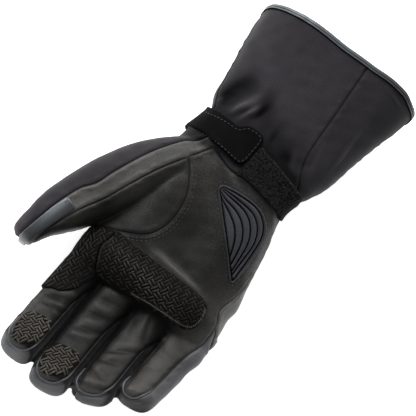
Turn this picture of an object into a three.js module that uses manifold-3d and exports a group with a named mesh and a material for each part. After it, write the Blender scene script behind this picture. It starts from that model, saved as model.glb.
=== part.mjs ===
// Heated motorcycle glove for the right hand, lying on its back with the palm up.
// Millimetres, +Z up. The cuff points along +Y, the fingers along -Y and the thumb lies on the -X side.
// The origin is on the back of the hand, where it rests on the surface below the heel of the palm.

import * as THREE from "three";
import { mergeVertices } from "three/addons/utils/BufferGeometryUtils.js";
import Module from "manifold-3d";

const wasm = await Module();
wasm.setup();

// Driving dimensions
const WALL = 3.0; // shell, membrane and lining together
const SEAM_GAP = 0.3; // between two panels that are sewn edge to edge
const LAY_GAP = 0.35; // between the shell and what is sewn onto it
const GRIP_THICK = 1.6;
const KNUCKLE_GRIP_THICK = 2.6;
const INSERT_THICK = 1.9;
const INSERT_GROOVE_WIDE = 1.3;
const INSERT_GROOVE_DEEP = 0.9;
const WIPER_THICK = 1.1;
const LOOP_THICK = 1.5;
const STRAP_THICK = 2.6;
const PIPING_WIDE = 1.9; // round the palm side of each fingertip
const PIPING_HIGH = 1.3;
const PIPING_FROM = 0.62; // share of the finger's length where it begins
const BINDING_THICK = 1.1;
const BINDING_GAP = 0.5; // it is folded loosely over the cuff's edge
const BINDING_WIDE = 2.8;
const BODY_SQUARENESS = 2.5; // exponent of the superellipse sections
const FINGER_SQUARENESS = 2.7;
const BODY_SIDES = 24;
const OUTSIDE = { finger: 10, fingerSteps: 4, tip: 3, thumb: 12, thumbSteps: 5 };
const INSIDE = { finger: 7, fingerSteps: 3, tip: 1, thumb: 9, thumbSteps: 3 };
const INSIDE_SKIPS = [1, 2, 12, 14]; // rows of the body's table that its hollow does without
const SEAM_STEP = 15; // along a finger
const CURVE_POINTS = 1.3; // points on a smooth outline or seam, for each point of its table
const FLAT_BELOW = 5; // how far the sections would reach below the surface that flattens them
const WRIST_Y = 42; // cuff and hand are sewn together here, under the strap
const FINGER_Y = -88; // the backs of the fingers are sewn to the hand here
const KNUCKLE_SLOPE = 0.075; // the finger bases lie along a line that slopes by this across the hand
const KNUCKLE_X = -22; // where that line is at FINGER_Y
const FINGER_SEAM_Z = 26.2; // top of the seam between the hand's back and the fingers' backs
const SIDE_SEAM_Z = 14; // back panel to side panel, on the little finger's side
const THUMB_SEAM_Z = 26; // thumb's lower side, and the index finger's side of the hand
const CUFF_SEAM_LEFT_Z = 38;
const CUFF_SEAM_RIGHT_Z = 24;
const HIGH = 120; // above everything
const LOW = -10; // below everything

// The hand and cuff from the opening to the knuckles, a row for each section across them.
const BODY = rows(
  ["y", "left", "right", "floor", "top"],
  [
    [143.6, -62.3, 68.5, 2.2, 80],
    [130, -61.6, 67.5, 1.2, 77],
    [95, -55.5, 60.0, 0, 66],
    [80, -53.0, 58.0, 0, 62],
    [68, -51.0, 56.0, 1.5, 59],
    [57, -45.5, 52.0, 4.5, 55.5],
    [46, -46.5, 47.0, 5, 53.5],
    [34, -49.0, 44.5, 4, 53],
    [22, -50.5, 46.5, 0, 53],
    [-8, -53.0, 55.5, 0, 49.5],
    [-25, -53.5, 60.0, 0, 48],
    [-40, -53.5, 63.5, 0, 47.5],
    [-54, -53.5, 64.0, 0, 48],
    [-70, -53.5, 66.0, 0, 46.5],
    [-80, -53.0, 67.5, 0.5, 42],
    [-87, -51.5, 66.0, 2.5, 35],
    [-91, -46.0, 60.0, 9, 27],
  ],
);
// The cuff's edge slopes, and it dips where the gusset is sewn in.
const OPENING = { slopeAcross: 0.085, slopeDown: 0.08, fadesFrom: 70, dip: 2.0, dipX: 25, dipWide: 9 };

// Each finger's base, heading and size; yaw is from -Y towards +X, in degrees, and the sizes are halves.
// The slant is how far the tip falls back on the little finger's side, for each millimetre across.
const FINGERS = rows(
  ["name", "x", "y", "z", "yawBase", "yawTip", "length", "across", "deep", "taper", "curl", "slant"],
  [
    ["index", -37.8, -70, 18, 0, 0.5, 107.5, 14.2, 13.4, 0.95, 1.0, 0.0],
    ["middle", -7.8, -70, 18, 0.5, 2.5, 113, 14.5, 13.4, 0.96, 0.97, 0.12],
    ["ring", 22.0, -70, 18, 1, 1.5, 98, 14.2, 13.0, 0.97, 0.92, 0.36],
    ["little", 52.0, -68, 18, 1, -4, 82, 13.6, 12.4, 0.93, 1.0, 0.3],
  ],
);
const FINGER_ROLL = 11; // degrees that the palm side of each finger turns towards the thumb
const SEAM_ROLL = 15; // and that the seam between its front and back turns further
const SEAM_UP = 5; // that seam is this far above a finger's middle
const TIP_CAP = 11; // length of a fingertip's rounding
const GAP_REACH = [-88, -91, -115, -150, -190]; // y of points between two fingers
// How steeply a finger rises along its length, as a share of the length and in degrees.
const CURL = rows(
  ["at", "pitch"],
  [
    [0.0, 2],
    [0.4, 8],
    [0.55, 22],
    [0.72, 26],
    [0.85, 38],
    [1.0, 41],
  ],
);

// The thumb's middle line from its base to its tip, with half sizes across and high.
const THUMB = rows(
  ["x", "y", "z", "across", "high"],
  [
    [-33, 20, 28, 16, 22],
    [-49.5, -5, 29, 21.5, 23.5],
    [-62.5, -30, 31, 22.5, 22.5],
    [-72.5, -55, 33, 20.5, 20],
    [-79.8, -75, 35, 16.3, 17.5],
    [-84.2, -90, 36, 12.0, 15.5],
    [-87.0, -105.5, 37, 8.8, 13],
  ],
);
const THUMB_CAP = 9;

// Pads, hollows and gathered folds of the palm side: centre, half sizes, turn and height.
const RELIEF = rows(
  ["name", "x", "y", "wide", "long", "turn", "height"],
  [
    ["thenar_pad", -33, -14, 15, 28, 10, 6.0],
    ["heel_pad", 31, -3, 17, 22, 30, 4.5],
    ["palm_hollow", 4, -28, 16, 19, 0, -5.0],
    ["knuckle_ridge", 6, -68, 52, 10, 3, 4.0],
    ["gather_dent_1", -40, 72, 8, 14, 8, -4.5],
    ["gather_fold_1", -24, 66, 4, 14, 0, 2.5],
    ["gather_dent_2", -10, 76, 7, 12, 0, -3.0],
    ["gather_dent_3", 18, 60, 7, 10, -20, -3.0],
    ["gather_fold_2", 27, 58, 5, 10, -30, 1.5],
  ],
);
const RELIEF_FROM = 0.1; // share of a section's height where the relief begins, and where it is full
const RELIEF_FULL = 0.6;

// Seams seen from the palm side, each a line of points in plan and the heights that it cuts through.
const SEAMS = {
  finger_bases: { from: LOW, to: FINGER_SEAM_Z, line: [[-57, knuckleY(-57)], [85, knuckleY(85)]] },
  side_end: { from: LOW, to: HIGH, line: [[59.2, knuckleY(59.2)], [85, knuckleY(85)]] },
  wrist_back: { from: LOW, to: 40, line: [[-75, WRIST_Y], [80, WRIST_Y]] },
  wrist_palm: {
    from: THUMB_SEAM_Z,
    to: HIGH,
    line: [[-75, WRIST_Y], [-39, WRIST_Y], [-31, 36], [-18, 30.5], [-6, 27.5], [2, 29], [14, 36],
      [30, WRIST_Y], [80, WRIST_Y]],
  },
  cuff_gusset: {
    from: CUFF_SEAM_RIGHT_Z,
    to: HIGH,
    line: [[19, 165], [20, 145], [24.5, 108], [27, 85], [29.5, 69], [35, 58], [41, 47], [42.6, 41.8]],
  },
  thumb_back: {
    from: THUMB_SEAM_Z,
    to: HIGH,
    line: [[-32.5, 40.5], [-36.5, 30], [-45, 22], [-57, 0], [-67, -28], [-71, -43], [-77.5, -53],
      [-83, -73], [-86, -92], [-89.5, -114]],
  },
  thumb_strip: {
    from: THUMB_SEAM_Z,
    to: HIGH,
    line: [[-24.5, 35.4], [-29.5, 25], [-44, -4], [-54, -31], [-59, -46], [-68, -66], [-75, -88],
      [-78, -114]],
  },
  thenar: {
    from: THUMB_SEAM_Z,
    to: HIGH,
    line: [[-37.5, 17.5], [-26.5, 7], [-16.5, -9], [-13.7, -29], [-19.5, -45], [-32, -54], [-45, -60],
      [-60, -68]],
  },
  side: {
    from: SIDE_SEAM_Z,
    to: HIGH,
    line: [[41, 42.1], [44, 26], [53, 0], [56.2, -18], [57, -35], [54.3, -52], [59, -60], [61.4, -75],
      [59.6, -86]],
  },
  thumb_to_back: {
    from: LOW,
    to: THUMB_SEAM_Z,
    line: [[-42.5, 42.1], [-45, 20], [-49, -15], [-50.4, -40], [-50.6, -58], [-51.5, -65], [-53.8, -69],
      [-56, -71.5]],
  },
};
// Seams that lie level, each a rectangle in plan at one height.
const LEVEL_SEAMS = rows(
  ["name", "z", "left", "right", "front", "rear"],
  [
    ["cuff_left", CUFF_SEAM_LEFT_Z, -85, -20, WRIST_Y, 170],
    ["cuff_right", CUFF_SEAM_RIGHT_Z, 20, 85, WRIST_Y, 170],
    ["hand_right", SIDE_SEAM_Z, 30, 85, -90, WRIST_Y],
    ["index_side", THUMB_SEAM_Z, -60, -35, -90.5, -58],
  ],
);

// Outlines of what is sewn on, seen from the palm side.
const OUTLINES = {
  knuckle_grip: [
    [-36.8, -57.5], [-19, -57.8], [10, -56.3], [36, -54.2], [45, -56.5], [49, -65], [48.6, -73],
    [43, -78.5], [29, -81], [14, -83], [-10, -87.5], [-27.6, -90.2], [-33.6, -81], [-38.2, -72], [-36.8, -64],
  ],
  index_grip: [
    [-60, -66.5], [-53.5, -63.5], [-46, -61], [-38.4, -58.8], [-38, -64], [-39.6, -72.5], [-35, -82],
    [-29.2, -91.5], [-31, -99.5], [-33, -106.4], [-37.3, -112.8], [-44, -117.2], [-60, -119.5],
  ],
  index_tip_grip: [
    [-44.5, -142], [-36.7, -140.2], [-29, -142], [-26.4, -150], [-29.5, -160], [-38, -163], [-45.5, -160],
    [-48, -151],
  ],
  middle_tip_grip: [
    [-15.5, -147], [-7.7, -145.2], [-0.5, -148], [1, -156.6], [-2.9, -165.6], [-10.8, -168.2],
    [-17.5, -163.5], [-19.5, -155],
  ],
  heel_insert: [
    [-4.4, 13.5], [-2.5, 16.7], [7.9, 18.7], [21.7, 19.2], [30.6, 17.2], [37.5, 11.2], [41.4, 4.1],
    [45.3, -8.9], [47.2, -21.8], [47.6, -29.8], [45.2, -32], [40.3, -27.8], [29.5, -16.9], [17.7, -6.9],
    [7.9, 1.1], [0, 8.1],
  ],
  thumb_wiper: [
    [-80.2, -63.5], [-75, -63.5], [-76.8, -77.4], [-78.6, -92], [-80, -100], [-84.2, -99], [-84.4, -87.2],
    [-82.6, -73.4],
  ],
  strap_tab: [
    [-60, 49], [-42.5, 52.2], [-29.6, 53.7], [-21.7, 54.2], [-18.8, 56.8], [-15.8, 59.6], [-7.9, 60.8],
    [-3, 59.5], [-1, 55.3], [-0.8, 46], [-1.2, 38.1], [-4.9, 33.4], [-19.7, 33.6], [-37.5, 33.2], [-60, 29],
  ],
  strap_loop: [
    [-0.4, 53.8], [14.8, 52.7], [29.7, 50.8], [46, 49],
    [45.5, 27.5], [29.6, 27.8], [11.8, 28.5], [-0.4, 28],
  ],
};
const SHARP_OUTLINES = ["strap_loop"];
const STRAP_BACK = { left: -70, right: 34, front: 34.6, rear: 55, top: 26 }; // round the back of the wrist
// The strap leans towards the cuff on its way down the wrist's sides.
const STRAP_LEAN = { z: 58, slope: 0.176 };
const LOOP_LOWEST = 30;

// The insert's grooves all run from one end to the other; each bows out by its own share.
const INSERT_ENDS = { start: [-3.2, 14.6], end: [45.2, -30.2] };
const INSERT_BOWS = [
  [[14, 15.6], [30, 12.4], [41.5, -7]],
  [[13, 12.6], [27, 6], [39.5, -11.5]],
  [[11.5, 9.8], [24, 1], [37.5, -15]],
  [[10, 7], [21, -3], [35.5, -18.8]],
];

const MATERIALS = {
  softshell: cloth(0x2b2a2d, 0.85),
  leather: cloth(0x262523, 0.5),
  side_leather: cloth(0x3a3a38, 0.5),
  grip: cloth(0x2c2a27, 0.8),
  insert: cloth(0x45464c, 0.7),
  binding: cloth(0x59606a, 0.35),
  webbing: cloth(0x1b1b1b, 0.75),
  loop: cloth(0x232323, 0.95),
  wiper: cloth(0x6d7782, 0.3),
};

function cloth(colour, roughness) {
  return new THREE.MeshStandardMaterial({ color: colour, roughness, metalness: 0 });
}

function rows(columns, values) {
  return values.map((row) => Object.fromEntries(columns.map((column, i) => [column, row[i]])));
}

// The line along which the finger bases lie.
function knuckleY(x) {
  return FINGER_Y + KNUCKLE_SLOPE * (x - KNUCKLE_X);
}

// Small helpers for curves and sections
function catmullRom(a, b, c, d, t) {
  return 0.5 * (2 * b + (c - a) * t + (2 * a - 5 * b + 4 * c - d) * t * t + (3 * b - a - 3 * c + d) * t ** 3);
}

// A row of a table at a place between 0, its first row, and 1, its last.
function rowAt(table, share) {
  const at = Math.min(share, 1 - 1e-9) * (table.length - 1);
  const i = Math.floor(at);
  const near = (k) => table[Math.min(Math.max(k, 0), table.length - 1)];
  const mixed = {};
  for (const key of Object.keys(table[0]))
    if (typeof table[0][key] === "number")
      mixed[key] = catmullRom(near(i - 1)[key], near(i)[key], near(i + 1)[key], near(i + 2)[key], at - i);
  return mixed;
}

function ease(value, from, to) {
  const t = THREE.MathUtils.clamp((value - from) / (to - from), 0, 1);
  return t * t * (3 - 2 * t);
}

// Cosine or sine of an angle, pushed outwards for a section with rounded corners.
function squared(value, squareness) {
  return Math.sign(value) * Math.abs(value) ** (2 / squareness);
}

function reliefAt(x, y) {
  let height = 0;
  for (const bump of RELIEF) {
    const turn = THREE.MathUtils.degToRad(bump.turn);
    const dx = x - bump.x;
    const dy = y - bump.y;
    const across = (dx * Math.cos(turn) + dy * Math.sin(turn)) / bump.wide;
    const along = (-dx * Math.sin(turn) + dy * Math.cos(turn)) / bump.long;
    height += bump.height * Math.exp(-(across ** 2 + along ** 2));
  }
  return height;
}

// Solids
function solidFrom(geometry) {
  geometry.deleteAttribute("normal");
  geometry.deleteAttribute("uv");
  const merged = mergeVertices(geometry, 1e-4);
  const vertProperties = new Float32Array(merged.attributes.position.array);
  const triVerts = new Uint32Array(merged.index.array);
  const made = new wasm.Manifold(new wasm.Mesh({ numProp: 3, vertProperties, triVerts }));
  if (made.volume() > 0) return made;
  for (let i = 0; i < triVerts.length; i += 3)
    [triVerts[i + 1], triVerts[i + 2]] = [triVerts[i + 2], triVerts[i + 1]];
  return new wasm.Manifold(new wasm.Mesh({ numProp: 3, vertProperties, triVerts }));
}

// A closed solid through rings of points, with a flat fan at each end.
function loft(rings) {
  const sides = rings[0].length;
  const points = rings.flat();
  const index = [];
  const ringAt = (i, j) => i * sides + (j % sides);
  for (let i = 0; i + 1 < rings.length; i++)
    for (let j = 0; j < sides; j++) {
      index.push(ringAt(i, j), ringAt(i, j + 1), ringAt(i + 1, j + 1));
      index.push(ringAt(i, j), ringAt(i + 1, j + 1), ringAt(i + 1, j));
    }
  for (const end of [0, rings.length - 1]) {
    const middle = new THREE.Vector3();
    rings[end].forEach((p) => middle.addScaledVector(p, 1 / sides));
    points.push(middle);
    for (let j = 0; j < sides; j++) {
      const pair = [ringAt(end, j), ringAt(end, j + 1)];
      index.push(points.length - 1, ...(end ? pair : pair.reverse()));
    }
  }
  const flat = new Float32Array(points.flatMap((p) => [p.x, p.y, p.z]));
  const geometry = new THREE.BufferGeometry();
  geometry.setAttribute("position", new THREE.BufferAttribute(flat, 3)).setIndex(index);
  return solidFrom(geometry);
}

// A thin sheet between two edges: each rung has its left and right point and the way that the sheet is thick.
function sheet(rungs, thickness) {
  const points = [];
  for (const half of [-thickness / 2, thickness / 2])
    for (const { left, right, up } of rungs)
      points.push(left.clone().addScaledVector(up, half), right.clone().addScaledVector(up, half));
  const top = 2 * rungs.length;
  const index = [];
  for (let a = 0; a + 3 < top; a += 2) {
    index.push(a, a + 1, a + 3, a, a + 3, a + 2);
    index.push(top + a, top + a + 3, top + a + 1, top + a, top + a + 2, top + a + 3);
    index.push(a, a + 2, top + a + 2, a, top + a + 2, top + a);
    index.push(a + 1, top + a + 3, a + 3, a + 1, top + a + 1, top + a + 3);
  }
  index.push(0, top, top + 1, 0, top + 1, 1);
  index.push(top - 2, top - 1, 2 * top - 1, top - 2, 2 * top - 1, 2 * top - 2);
  const flat = new Float32Array(points.flatMap((p) => [p.x, p.y, p.z]));
  const geometry = new THREE.BufferGeometry();
  geometry.setAttribute("position", new THREE.BufferAttribute(flat, 3)).setIndex(index);
  return solidFrom(geometry);
}

// An upright prism over an outline in plan.
function prism(outline, low, high) {
  const shape = new THREE.Shape(outline.map(([x, y]) => new THREE.Vector2(x, y)));
  const geometry = new THREE.ExtrudeGeometry(shape, { depth: high - low, bevelEnabled: false });
  return solidFrom(geometry.translate(0, 0, low));
}

function slab(left, right, front, rear, low, high) {
  return prism([[left, front], [right, front], [right, rear], [left, rear]], low, high);
}

// More points on a smooth curve through the given ones.
function smooth(points, closed) {
  const curve = new THREE.CatmullRomCurve3(
    points.map(([x, y]) => new THREE.Vector3(x, y, 0)), closed, "catmullrom", 0.5);
  const made = curve.getPoints(Math.round(points.length * CURVE_POINTS)).map((p) => [p.x, p.y]);
  return closed ? made.slice(0, -1) : made;
}

// A thin upright knife along a line in plan.
function ribbon(line, width, low, high) {
  const side = (offset) => line.map(([x, y], i) => {
    const [ax, ay] = line[Math.max(i - 1, 0)];
    const [bx, by] = line[Math.min(i + 1, line.length - 1)];
    const long = Math.hypot(bx - ax, by - ay);
    return [x - ((by - ay) / long) * offset, y + ((bx - ax) / long) * offset];
  });
  return prism([...side(-width / 2), ...side(width / 2).reverse()], low, high);
}

// The main forms, each grown outwards by an offset, or shrunk by a negative one.
// How far a section's point moves along Y: at the cuff's edge, and at the knuckles.
function endShift(x, z, y) {
  const dip = OPENING.dip * Math.exp(-(((x - OPENING.dipX) / OPENING.dipWide) ** 2)) * ease(z, 40, 70);
  const slope = OPENING.slopeAcross * x - OPENING.slopeDown * (BODY[0].top - z) - dip;
  const knuckles = KNUCKLE_SLOPE * (x - KNUCKLE_X) * ease(-y, 50, 85);
  return ease(y, OPENING.fadesFrom, BODY[0].y) * slope + knuckles;
}

function bodyRing(row, offset, shiftY) {
  const ring = [];
  const left = row.left - offset;
  const right = row.right + offset;
  const top = row.top + offset;
  const floor = Math.max(row.floor, 0) - offset;
  const bottom = floor - FLAT_BELOW;
  for (let j = 0; j < BODY_SIDES; j++) {
    const angle = (2 * Math.PI * j) / BODY_SIDES;
    const across = squared(Math.cos(angle), BODY_SQUARENESS);
    const up = squared(Math.sin(angle), BODY_SQUARENESS);
    const x = (left + right) / 2 + ((right - left) / 2) * across;
    const flatZ = Math.max((top + bottom) / 2 + ((top - bottom) / 2) * up, floor);
    const z = flatZ + reliefAt(x, row.y) * ease(up, RELIEF_FROM, RELIEF_FULL);
    ring.push(new THREE.Vector3(x, row.y + shiftY + endShift(x, flatZ, row.y), z));
  }
  return ring;
}

// The rows that the body's form is made from; its hollow is made from fewer.
function bodyRows(offset) {
  return offset < 0 ? BODY.filter((_, i) => !INSIDE_SKIPS.includes(i)) : BODY;
}

// beyondOpening carries the form past the cuff's edge, which opens a hollow cut with it.
function body(offset, beyondOpening = 0) {
  const rings = bodyRows(offset).map((row) => bodyRing(row, offset, -offset * ease(-row.y, 60, 91)));
  if (beyondOpening) rings.unshift(bodyRing(BODY[0], offset, beyondOpening));
  return loft(rings);
}

// Directions across a tube: to its side, and up, away from its back, turned about its middle line.
function crossDirections(along, turn) {
  const side = along.clone().cross(new THREE.Vector3(0, 0, 1)).negate().normalize();
  const up = along.clone().cross(side).normalize();
  const roll = THREE.MathUtils.degToRad(turn);
  return { side: side.applyAxisAngle(along, roll), up: up.applyAxisAngle(along, roll) };
}

function tubeRing(centre, along, turn, across, deep, sides, slant = 0) {
  const { side, up } = crossDirections(along, turn);
  return Array.from({ length: sides }, (_, j) => {
    const angle = (2 * Math.PI * j) / sides;
    const reach = across * squared(Math.cos(angle), FINGER_SQUARENESS);
    const point = centre.clone()
      .addScaledVector(side, reach)
      .addScaledVector(up, deep * squared(Math.sin(angle), FINGER_SQUARENESS))
      .addScaledVector(along, -slant * reach);
    point.z = Math.max(point.z, 0);
    return point;
  });
}

function pitchAt(share) {
  const i = Math.max(CURL.findIndex((row) => row.at >= share), 1);
  const t = (share - CURL[i - 1].at) / (CURL[i].at - CURL[i - 1].at);
  return THREE.MathUtils.lerp(CURL[i - 1].pitch, CURL[i].pitch, t);
}

// A place on a finger's middle line, s from its base, with its direction; it runs on straight past the tip.
function fingerAt(row, s) {
  const place = new THREE.Vector3(row.x, row.y, row.z);
  const along = new THREE.Vector3();
  const steps = Math.ceil(Math.max(s, 1));
  for (let i = 0; i < steps; i++) {
    const share = Math.min((i + 0.5) / row.length, 1);
    const pitch = THREE.MathUtils.degToRad(pitchAt(share) * row.curl);
    const yaw = THREE.MathUtils.degToRad(THREE.MathUtils.lerp(row.yawBase, row.yawTip, share ** 1.5));
    along.set(Math.sin(yaw) * Math.cos(pitch), -Math.cos(yaw) * Math.cos(pitch), Math.sin(pitch));
    place.addScaledVector(along, s / steps);
  }
  return { place, along };
}

// Steps along a tube: even ones, then closer ones over the rounded tip, as shares of the length.
function tubeSteps(length, cap, even, tip) {
  const shares = Array.from({ length: even }, (_, i) => (i / even) * (1 - cap / length));
  for (let k = 0; k <= tip; k++)
    shares.push((length - cap + cap * Math.sin((Math.PI / 2) * (k / tip)) * 0.995) / length);
  return shares;
}

function tipScale(s, length, cap) {
  const t = Math.max(0, (s - (length - cap)) / cap);
  return (1 - t ** 2.6) ** (1 / 2.6);
}

function fingerRoll(share) {
  return FINGER_ROLL * ease(share, 0.1, 0.5);
}

function finger(row, offset, detail = OUTSIDE) {
  const rings = tubeSteps(row.length, TIP_CAP, detail.fingerSteps, detail.tip).map((share) => {
    const { place, along } = fingerAt(row, share * row.length);
    place.addScaledVector(along, offset * ease(share, 0.5, 1));
    const rounding = tipScale(share * row.length, row.length, TIP_CAP);
    const scale = THREE.MathUtils.lerp(1, row.taper, share) * rounding;
    const grow = offset * (scale > 0.3 ? 1 : scale / 0.3);
    return tubeRing(place, along, fingerRoll(share), row.across * scale + grow, row.deep * scale + grow,
      detail.finger, row.slant * ease(share, 0.55, 0.9));
  });
  return loft(rings);
}

function thumb(offset, detail = OUTSIDE) {
  const long = new THREE.CatmullRomCurve3(THUMB.map((p) => new THREE.Vector3(p.x, p.y, p.z))).getLength();
  const rings = tubeSteps(long, THUMB_CAP, detail.thumbSteps, detail.tip).map((share) => {
    const here = rowAt(THUMB, share);
    const before = rowAt(THUMB, Math.max(share - 0.02, 0));
    const after = rowAt(THUMB, Math.min(share + 0.02, 1));
    const along = new THREE.Vector3(after.x - before.x, after.y - before.y, after.z - before.z).normalize();
    const scale = tipScale(share * long, long, THUMB_CAP);
    const centre = new THREE.Vector3(here.x, here.y, here.z);
    centre.addScaledVector(along, offset * ease(share, 0.5, 1));
    const grow = offset * (scale > 0.3 ? 1 : scale / 0.3);
    return tubeRing(centre, along, 0, here.across * scale + grow, here.high * scale + grow, detail.thumb);
  });
  return loft(rings);
}

const formCache = new Map();
// The whole glove as one closed form, at an offset from its outer surface.
function gloveForm(offset) {
  if (!formCache.has(offset)) {
    const parts = [body(offset), thumb(offset), ...FINGERS.map((row) => finger(row, offset))];
    formCache.set(offset, wasm.Manifold.union(parts));
  }
  return formCache.get(offset);
}

// A sewn-on piece: the glove's surface between two offsets, inside a prism.
function sewnOn(region, thickness, form = gloveForm) {
  return form(LAY_GAP + thickness).subtract(form(LAY_GAP)).intersect(region);
}

function outlineRegion(name, low) {
  const points = OUTLINES[name];
  return prism(SHARP_OUTLINES.includes(name) ? points : smooth(points, true), low, HIGH);
}

// A prism that leans towards the cuff on its way down from a height.
function leaning(outline, low, high, { z, slope }) {
  const shift = (at) => outline.map(([x, y]) => new THREE.Vector3(x, y + (z - at) * slope, at));
  return loft([shift(low), shift(high)]);
}

// The line midway between two neighbouring fingers, in plan.
function fingerGap(one, other) {
  const xAt = (row, y) => {
    let s = 0;
    while (s < row.length + 60 && fingerAt(row, s).place.y > y) s += 2;
    return fingerAt(row, s).place.x;
  };
  const share = one.across / (one.across + other.across);
  return GAP_REACH.map((y, i) => {
    const x = THREE.MathUtils.lerp(xAt(one, y), xAt(other, y), share);
    return [x, i > 1 ? y : y + KNUCKLE_SLOPE * (x - KNUCKLE_X)];
  });
}

// The sewn shell: a hollow glove cut along its seams into panels.
function shellPanels() {
  const hollow = wasm.Manifold.union([
    body(-WALL, 20), thumb(-WALL, INSIDE), ...FINGERS.map((row) => finger(row, -WALL, INSIDE)),
  ]);
  const knives = Object.values(SEAMS).map((seam) => {
    const line = seam.line.length > 2 ? smooth(seam.line, false) : seam.line;
    return ribbon(line, SEAM_GAP, seam.from, seam.to);
  });
  for (const seam of LEVEL_SEAMS)
    knives.push(slab(seam.left, seam.right, seam.front, seam.rear,
      seam.z - SEAM_GAP / 2, seam.z + SEAM_GAP / 2));
  const gaps = [0, 1, 2].map((i) => fingerGap(FINGERS[i], FINGERS[i + 1]));
  for (const gap of gaps) {
    knives.push(ribbon(gap, SEAM_GAP, LOW, FINGER_SEAM_Z));
    knives.push(ribbon(gap.slice(1), SEAM_GAP, LOW, HIGH));
  }
  const edge = (x) => GAP_REACH.map((y, i) => [x, i > 1 ? y : y - FINGER_Y + knuckleY(x)]);
  const bounds = [edge(-75), ...gaps, edge(90)];
  FINGERS.forEach((row, i) => {
    const region = prism([...bounds[i], ...bounds[i + 1].slice().reverse()], LOW, HIGH);
    knives.push(fingerKnife(row).intersect(region));
  });
  knives.push(thumbUndersideKnife());
  return gloveForm(0).subtract(hollow).subtract(wasm.Manifold.union(knives)).decompose();
}

// Level cut along the thumb's inner side and tip, right of its back panel.
function thumbUndersideKnife() {
  const seam = smooth(SEAMS.thumb_back.line, false).filter(([, y]) => y < -20);
  const outline = [...seam, [-95, -120], [-56, -120], [-56, -69], [-46, -66], [-46, -40]];
  return prism(outline, THUMB_SEAM_Z - SEAM_GAP / 2, THUMB_SEAM_Z + SEAM_GAP / 2);
}

// A thin sheet through a finger, along its bend, between its palm side and its back.
function fingerKnife(row, from = row.y - knuckleY(row.x) - 3, thickness = SEAM_GAP, lift = 0) {
  const rungs = [];
  const reach = row.across + 8;
  const turnedAtBase = row.name === "little";
  for (let s = from; s < row.length + 16; s += SEAM_STEP) {
    const share = Math.min(s / row.length, 1);
    const { place, along } = fingerAt(row, s);
    const turn = fingerRoll(share) + SEAM_ROLL * (turnedAtBase ? 1 : ease(share, 0.2, 0.45));
    const { side, up } = crossDirections(along, turn);
    place.addScaledVector(up, SEAM_UP + lift);
    rungs.push({
      left: place.clone().addScaledVector(side, -reach),
      right: place.clone().addScaledVector(side, reach),
      up,
    });
  }
  return sheet(rungs, thickness);
}

// The band of a fingertip that its piping lies in, just on the palm side of the seam.
function pipingBand(row, margin) {
  return fingerKnife(row, row.length * PIPING_FROM, PIPING_WIDE + 2 * margin, SEAM_GAP + PIPING_WIDE / 2);
}

function piping(row) {
  return sewnOn(pipingBand(row, 0), PIPING_HIGH, (offset) => finger(row, offset));
}

// The grip on a fingertip, inside its piping.
function tipGrip(row) {
  const region = outlineRegion(`${row.name}_tip_grip`, 40).subtract(pipingBand(row, LAY_GAP));
  return sewnOn(region, GRIP_THICK, (offset) => finger(row, offset));
}

// Panels of the shell, each with a point that only it is near.
const PANELS = rows(
  ["name", "material", "x", "y", "z"],
  [
    ["cuff_front_panel", "softshell", -10, 110, 72],
    ["cuff_gusset", "softshell", 58, 110, 45],
    ["cuff_back_panel", "softshell", 0, 110, 0],
    ["palm_and_fingers", "leather", 15, -30, 44],
    ["thenar_panel", "leather", -35, -20, 52],
    ["thumb_side_strip", "side_leather", -58, -25, 50],
    ["thumb_back_panel", "softshell", -83, -40, 20],
    ["hand_back_panel", "softshell", 0, -30, 0],
    ["hand_side_panel", "side_leather", 64, -50, 24],
    ["index_back", "softshell", -38, -120, 12],
    ["middle_back", "softshell", -8, -120, 12],
    ["ring_back", "softshell", 23, -120, 12],
    ["little_back", "softshell", 52, -110, 10],
  ],
);

function nearest(solids, row) {
  let best = null;
  for (const solid of solids) {
    const { vertProperties, numProp } = solid.getMesh();
    let far = Infinity;
    for (let i = 0; i < vertProperties.length; i += numProp)
      far = Math.min(far, Math.hypot(
        vertProperties[i] - row.x, vertProperties[i + 1] - row.y, vertProperties[i + 2] - row.z));
    if (!best || far < best.far) best = { solid, far };
  }
  return best.solid;
}

function heelInsert() {
  const whole = sewnOn(outlineRegion("heel_insert", 30), INSERT_THICK, body);
  const face = LAY_GAP + INSERT_THICK;
  const above = body(face + 2).subtract(body(face - INSERT_GROOVE_DEEP));
  const grooves = INSERT_BOWS.map((bow) => {
    const line = [INSERT_ENDS.start, ...bow, INSERT_ENDS.end];
    return above.intersect(ribbon(line, INSERT_GROOVE_WIDE, 30, HIGH));
  });
  return whole.subtract(wasm.Manifold.union(grooves));
}

// The strap goes round the back of the wrist, up the thumb's side and over the palm side as a tab.
function wristStrap() {
  const tab = leaning(smooth(OUTLINES.strap_tab, true), STRAP_BACK.top - 0.01, HIGH, STRAP_LEAN);
  const back = slab(STRAP_BACK.left, STRAP_BACK.right, STRAP_BACK.front, STRAP_BACK.rear, LOW, STRAP_BACK.top);
  return sewnOn(tab.add(back), STRAP_THICK, body);
}

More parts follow.
